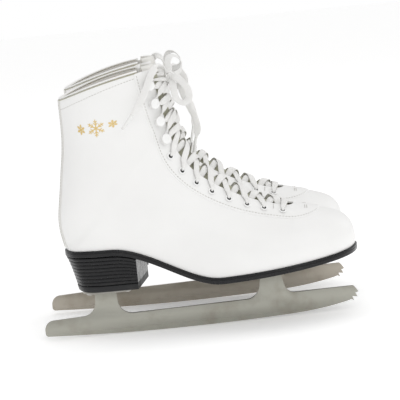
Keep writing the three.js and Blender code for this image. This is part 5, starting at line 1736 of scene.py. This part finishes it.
@dataclass
class Sole:
    """The lacquered sole and heel under the boot."""

    bench: Bench
    thickness: float = 6.0
    edge: float = 1.8
    clearance: float = 0.35
    heel_length: float = 54.0
    heel_taper: float = 9.0
    heel_slant: float = 9.0
    lift: float = 5.5
    lift_under: float = 45.35
    ridges: int = 8
    ridge_depth: float = 0.75

    def build_outsole(self) -> None:
        """The sole, with a line run round its edge."""
        us = np.concatenate([[0, 0.03, 0.08, 0.15, 0.25], np.linspace(0.35, 12.65, 124),
                             [12.75, 12.85, 12.93, 12.97, 13]])
        profile = [(-1.6, 0.0), (-0.35, 0.02), (0.0, -0.35), (0.0, -1.45), (-0.28, -1.62), (-0.28, -1.92),
                   (0.0, -2.1), (0.02, -4.8), (-0.25, -5.35), (-0.9, -self.thickness + 0.36),
                   (-2.2, -self.thickness + 0.35)]
        columns = []
        for sign in (-1, 1):
            rings = []
            for inset, drop in profile:
                plan = LAST.outline(us, sign, self.edge + inset)
                z = LAST.level_at(plan[:, 0]) - self.clearance + drop
                rings.append(np.column_stack([plan, z]))
            columns.append(rings)
        loop = [*columns[0], *columns[1][::-1]]
        sole = loft([np.array([ring[i] for ring in loop]) for i in range(len(us))], caps=False)
        piece = sole.to_object("sole_slab", self.bench.side, self.bench.finishes.sole, 55.0)
        self.bench.keep(piece, "black_sole", "outsole")

    def heel_ring(self, height: object, inset: float) -> np.ndarray:
        """The heel's outline at a height, closed across the breast.

        Args:
            height: Gives the height from that of the heel's top.
            inset: How far inside the sole's edge it lies.

        Returns:
            The ring's points.
        """
        breast = LAST.heel_x + self.heel_taper + self.heel_length
        t = 1 - (1 - np.linspace(0, 1, 25)) ** 1.7
        plans = []
        for sign, front in ((-1, breast), (1, breast + self.heel_slant)):
            start = LAST.station_at(front)
            us = start + t * (LAST.heel_back - start)
            plans.append(LAST.outline(us, sign, self.edge - inset))
        plan = np.vstack([plans[0], plans[1][::-1][1:]])
        across = np.linspace(0, 1, 9)[1:-1, None]
        plan = np.vstack([plan, plan[-1] * (1 - across) + plan[0] * across])
        under = LAST.level_at(plan[:, 0]) - self.thickness
        top = under - 2 * self.clearance
        z = height(top)
        sunk = np.clip((top - z) / (top - self.lift_under), 0, 1) ** 0.75
        middle = LAST.heel_x + self.heel_length / 2
        back = np.clip((middle - plan[:, 0]) / (middle - LAST.heel_x), 0, 1)
        return np.column_stack([plan[:, 0] + self.heel_taper * sunk * back, plan[:, 1] * (1 - 0.13 * sunk), z])

    def build_heel(self) -> None:
        """The ridged heel block and the lift under it."""
        under = self.lift_under + self.lift + self.clearance
        rings = []
        fine = 10 * self.ridges
        for k in range(fine + 1):
            t = k / fine
            groove = abs(math.sin(math.pi * t * self.ridges)) ** 0.5
            inset = 0.35 + self.ridge_depth * (1 - groove)
            rings.append(self.heel_ring(lambda top, t=t: under + (top - under) * (1 - t), inset))
        piece = loft(rings).to_object("heel_stack", self.bench.side, self.bench.finishes.sole, 62.0)
        self.bench.keep(piece, "black_sole", "heel_block")
        rings = []
        low, high = self.lift_under, self.lift_under + self.lift
        for z, inset in ((high, 0.9), (high - 0.2, 0.35), (high - 0.7, 0.2), (low + 0.8, 0.2), (low + 0.25, 0.4),
                         (low, 1.0)):
            rings.append(self.heel_ring(lambda top, z=z: np.full_like(top, z), inset))
        piece = loft(rings).to_object("heel_lift", self.bench.side, self.bench.finishes.lift, 62.0)
        self.bench.keep(piece, "black_rubber", "top_lift")

    def build(self) -> None:
        """Builds the sole and the heel."""
        self.build_outsole()
        self.build_heel()


@dataclass
class Blade:
    """The steel blade with its two stanchions, its plates and their screws."""

    bench: Bench
    thickness: float = 3.8
    tail: float = 28.0
    runner: float = 18.0
    rocker: float = 2200.0
    spin: float = 330.0
    stanchion: float = 19.0
    fillet: float = 13.0
    tail_radius: float = 14.0
    plate: float = 2.0
    plate_level: float = 43.0
    sole: float = 6.0
    clearance: float = 0.35
    heel_plate: tuple = (48.0, 44.0)
    sole_plate: tuple = (112.0, 54.0)

    @property
    def toe_x(self) -> float:
        """The blade's foremost point."""
        return LAST.heel_x + LAST.length

    @property
    def tail_x(self) -> float:
        """The blade's rearmost point."""
        return LAST.heel_x - self.tail

    @property
    def heel_plate_x(self) -> float:
        """Middle of the plate under the heel."""
        return LAST.heel_x + 35

    @property
    def sole_plate_x(self) -> float:
        """Middle of the plate under the ball."""
        return self.toe_x - 101.5

    def under(self, x: float) -> float:
        """Height of the running edge above the ice."""
        return ((x - LAST.heel_x - 97) ** 2 / (2 * self.rocker)
                + max(0.0, x - self.toe_x + 62) ** 2 / (2 * self.spin))

    def sole_under(self, x: np.ndarray) -> np.ndarray:
        """Height of the sole's underside."""
        return LAST.level_at(x) - self.sole

    def rounded(self, corners: list) -> np.ndarray:
        """Points of a closed outline with its corners rounded.

        Args:
            corners: (x, z) or (x, z, radius), in order.

        Returns:
            The outline's points.
        """
        out = []
        for i, corner in enumerate(corners):
            p = np.array(corner[:2], float)
            if len(corner) < 3:
                out.append(p)
                continue
            a = unit(np.array(corners[i - 1][:2], float) - p)
            b = unit(np.array(corners[(i + 1) % len(corners)][:2], float) - p)
            half = math.acos(float(np.clip(np.dot(a, b), -1, 1))) / 2
            reach = corner[2] / math.tan(half)
            centre = p + unit(a + b) * corner[2] / math.sin(half)
            start, stop = p + a * reach - centre, p + b * reach - centre
            turn = math.atan2(start[0] * stop[1] - start[1] * stop[0], float(np.dot(start, stop)))
            count = max(3, int(abs(turn) / 0.12))
            for t in np.linspace(0, 1, count + 1):
                c, s = math.cos(turn * t), math.sin(turn * t)
                out.append(centre + np.array([c * start[0] - s * start[1], s * start[0] + c * start[1]]))
        return np.array(out)

    def outline(self) -> np.ndarray:
        """The blade's side view."""
        heel_top = self.plate_level - self.clearance
        toe_top = lambda x: float(self.sole_under(x)) - 2 * self.clearance - self.plate
        half, front = self.stanchion / 2, self.runner + 4.5
        heel, toe = LAST.heel_x + 31, self.toe_x - 81.5
        tail, tip = self.tail_x, self.toe_x
        picks = [(-8, 10.6), (-5.5, 9.2), (-7, 13.2), (-2, 12.6), (-4, 16.3), (-0.9, 17.2), (-2.6, 20)]
        corners = [
            (tail, self.under(tail), 3),
            *[(x, self.under(x)) for x in np.linspace(tail + 5, tip - 12, 46)],
            *[(tip + x, z) for x, z in picks],
            (tip - 5, front + 0.6, 3),
            (toe + half + 5, front, self.fillet * 0.7),
            (toe + half - 1.5, toe_top(toe + half)),
            (toe - half + 2, toe_top(toe - half)),
            (toe - half - 4, self.runner + 2.2, self.fillet),
            (heel + half + 3, self.runner, self.fillet),
            (heel + half - 0.5, heel_top),
            (heel - half, heel_top),
            (heel - half - 1.5, self.runner + 1.5, self.fillet),
            (tail, self.runner - 0.5, self.tail_radius * 0.6),
        ]
        return self.rounded(corners)

    def bevelled(self, piece: bpy.types.Object, width: float, segments: int = 2) -> bpy.types.Object:
        """Breaks a piece's sharp edges, and keeps the result as a plain mesh."""
        modifier = piece.modifiers.new("edge", "BEVEL")
        modifier.width = width * MM
        modifier.segments = segments
        modifier.limit_method = "ANGLE"
        modifier.angle_limit = math.radians(50)
        bpy.context.view_layer.update()
        evaluated = piece.evaluated_get(bpy.context.evaluated_depsgraph_get())
        mesh = bpy.data.meshes.new_from_object(evaluated)
        piece.modifiers.clear()
        piece.data = mesh
        mesh.shade_smooth()
        mesh.set_sharp_from_angle(angle=math.radians(32))
        return piece

    def build_blade(self) -> None:
        """The blade itself, cut from one plate."""
        line = self.outline()
        half = self.thickness / 2
        rings = [np.column_stack([line[:, 0], np.full(len(line), y), line[:, 1]]) for y in (-half, half)]
        finish = self.bench.finishes
        # The left blade's warmer, browner steel is painted shade and painted reflection.
        steel = finish.steel if self.bench.side is Side.RIGHT else finish.steel_far_shaded
        piece = loft(rings).to_object("steel_blade", self.bench.side, steel, 30.0)
        self.bevelled(piece, 0.32)
        self.bench.keep(piece, "blade_steel", "blade")

    def strip(self, middle: float, size: tuple, top: object, bottom: object, round_end: float) -> Solid:
        """A flat plate with rounded corners that follows the sole.

        Args:
            middle: The x of its middle.
            size: Its length and width.
            top: Gives the height of its upper face from x.
            bottom: Gives the height of its lower face from x.
            round_end: Radius of its corners.

        Returns:
            The plate.
        """
        half_x, half_y = size[0] / 2, size[1] / 2
        turns = np.linspace(0, math.pi / 2, 9)
        d = round_end * (1 - np.cos(turns))
        w = half_y - round_end * (1 - np.sin(turns))
        xs = np.concatenate([-half_x + d, np.linspace(-half_x + round_end, half_x - round_end, 26)[1:-1],
                             (half_x - d)[::-1]])
        ws = np.concatenate([w, np.full(24, half_y), w[::-1]])
        x = middle + xs
        grids = []
        for height in (top, bottom):
            z = height(x)
            grids.append(np.stack([np.column_stack([x, s * ws, z]) for s in (-1, -0.5, 0, 0.5, 1)], axis=1))
        return shell(*grids)

    def build_plates(self) -> None:
        """The two plates with their screws."""
        finish, side = self.bench.finishes, self.bench.side
        level = self.plate_level
        heel = self.strip(self.heel_plate_x, self.heel_plate, lambda x: np.full_like(x, level + self.plate),
                          lambda x: np.full_like(x, level), 15.0)
        piece = heel.to_object("heel_mount", side, finish.plate, 30.0)
        self.bench.keep(self.bevelled(piece, 0.3), "blade_steel", "heel_plate")
        top = lambda x: self.sole_under(x) - self.clearance
        ball = self.strip(self.sole_plate_x, self.sole_plate, top, lambda x: top(x) - self.plate, 19.0)
        piece = ball.to_object("sole_mount", side, finish.plate, 30.0)
        self.bench.keep(self.bevelled(piece, 0.3), "blade_steel", "sole_plate")
        places = [(self.heel_plate_x + x, y, level) for x in (-17, 17) for y in (-15, 15)]
        for x in (-42, 46):
            for y in (-19, 19):
                at = self.sole_plate_x + x
                places.append((at, y, float(top(at)) - self.plate))
        points = np.array(places, float)
        out = np.tile([0.0, 0.0, -1.0], (len(points), 1))
        along = np.column_stack([np.cos(np.arange(8) * 1.3), np.sin(np.arange(8) * 1.3), np.zeros(8)])
        base = seeds(side, points, out, along)
        piece = grow(self.bench.trees.screw, f"{side.word}_screw_heads", base, {}, (finish.screw,))
        self.bench.keep(piece, "blade_steel")

    def build(self) -> None:
        """Builds the blade and its plates."""
        self.build_blade()
        self.build_plates()


# ---- the studio


@dataclass(frozen=True)
class Studio:
    """A plain pale floor, soft light and the camera."""

    azimuth: float = -1.0
    elevation: float = 9.0
    roll: float = 5.5
    distance: float = 1.48
    lens: float = 144.8
    target: tuple = (0.0066, -0.055, 0.1172)
    floor: tuple = (0.95, 0.95, 0.948)
    surround: float = 0.74

    def build_floor(self) -> None:
        """A wide, matt floor."""
        mesh = bpy.data.meshes.new("floor")
        s = 6.0
        mesh.from_pydata([(-s, -s, 0), (s, -s, 0), (s, s, 0), (-s, s, 0)], [], [(0, 1, 2, 3)])
        made = bpy.data.objects.new("studio_floor", mesh)
        bpy.context.scene.collection.objects.link(made)
        made.location.z = -0.0004
        paint = Paint("floor_paper")
        paint.set(Roughness=0.85, Specular_IOR_Level=0.2, Emission_Color=(1.0, 1.0, 1.0, 1.0), Emission_Strength=0.28)
        tone = paint.noise(paint.place(), 3.0, 2.0)
        paint.colour(paint.blend(tone, self.floor, tuple(c * 0.99 for c in self.floor)))
        mesh.materials.append(paint.material)

    def build_light(self) -> None:
        """An even white surround, with large soft lights over and beside the skates."""
        world = bpy.data.worlds.new("studio")
        world.use_nodes = True
        back = world.node_tree.nodes["Background"]
        back.inputs["Color"].default_value = (1.0, 1.0, 1.0, 1.0)
        seen = world.node_tree.nodes.new("ShaderNodeLightPath").outputs["Is Camera Ray"]
        lit = world.node_tree.nodes.new("ShaderNodeMapRange")
        lit.inputs["To Min"].default_value = self.surround
        lit.inputs["To Max"].default_value = 1.0
        world.node_tree.links.new(seen, lit.inputs["Value"])
        world.node_tree.links.new(lit.outputs["Result"], back.inputs["Strength"])
        bpy.context.scene.world = world
        bpy.context.scene.view_settings.view_transform = "Standard"
        for name, place, size, power in (("key", (0.55, -1.35, 1.1), 1.2, 5.0), ("fill", (1.4, 0.6, 0.9), 1.1, 2.4),
                                         ("top", (0.1, 0.3, 1.9), 1.6, 4.5)):
            light = bpy.data.lights.new(name, "AREA")
            light.size = size
            light.energy = power
            lamp = bpy.data.objects.new(name, light)
            lamp.location = place
            away = Vector(place) - Vector(self.target)
            lamp.rotation_mode = "QUATERNION"
            lamp.rotation_quaternion = away.to_track_quat("Z", "Y")
            bpy.context.scene.collection.objects.link(lamp)

    def build_camera(self) -> None:
        """The camera, looking at the outer side of the right skate from slightly above."""
        a, e, r = (math.radians(v) for v in (self.azimuth, self.elevation, self.roll))
        forward = Vector((-math.sin(a) * math.cos(e), math.cos(a) * math.cos(e), -math.sin(e)))
        right = Vector((math.cos(a), math.sin(a), 0))
        up = right.cross(forward)
        turned_right = right * math.cos(r) - up * math.sin(r)
        turned_up = up * math.cos(r) + right * math.sin(r)
        data = bpy.data.cameras.new("camera")
        data.lens = self.lens
        data.sensor_width = 36.0
        camera = bpy.data.objects.new("camera", data)
        camera.rotation_mode = "QUATERNION"
        camera.location = Vector(self.target) - forward * self.distance
        basis = Matrix((turned_right, turned_up, -forward)).transposed()
        camera.rotation_quaternion = basis.to_quaternion()
        bpy.context.scene.collection.objects.link(camera)
        bpy.context.scene.camera = camera

    def build(self) -> None:
        """Builds floor, light and camera."""
        self.build_floor()
        self.build_light()
        self.build_camera()


def main() -> None:
    """Loads the frame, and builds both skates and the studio."""
    logging.basicConfig(level=logging.INFO, format="%(message)s")
    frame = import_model()
    finishes, trees = Finishes(), Trees()
    for side in Side:
        bench = Bench(side, finishes, trees, frame["nodes"])
        boot = Boot(bench)
        boot.build()
        Tongue(bench).build()
        Laces(bench, boot).build()
        Sole(bench).build()
        Blade(bench).build()
        LOG.info("%s skate done", side.word)
    Studio().build()


if __name__ == "__main__":
    main()
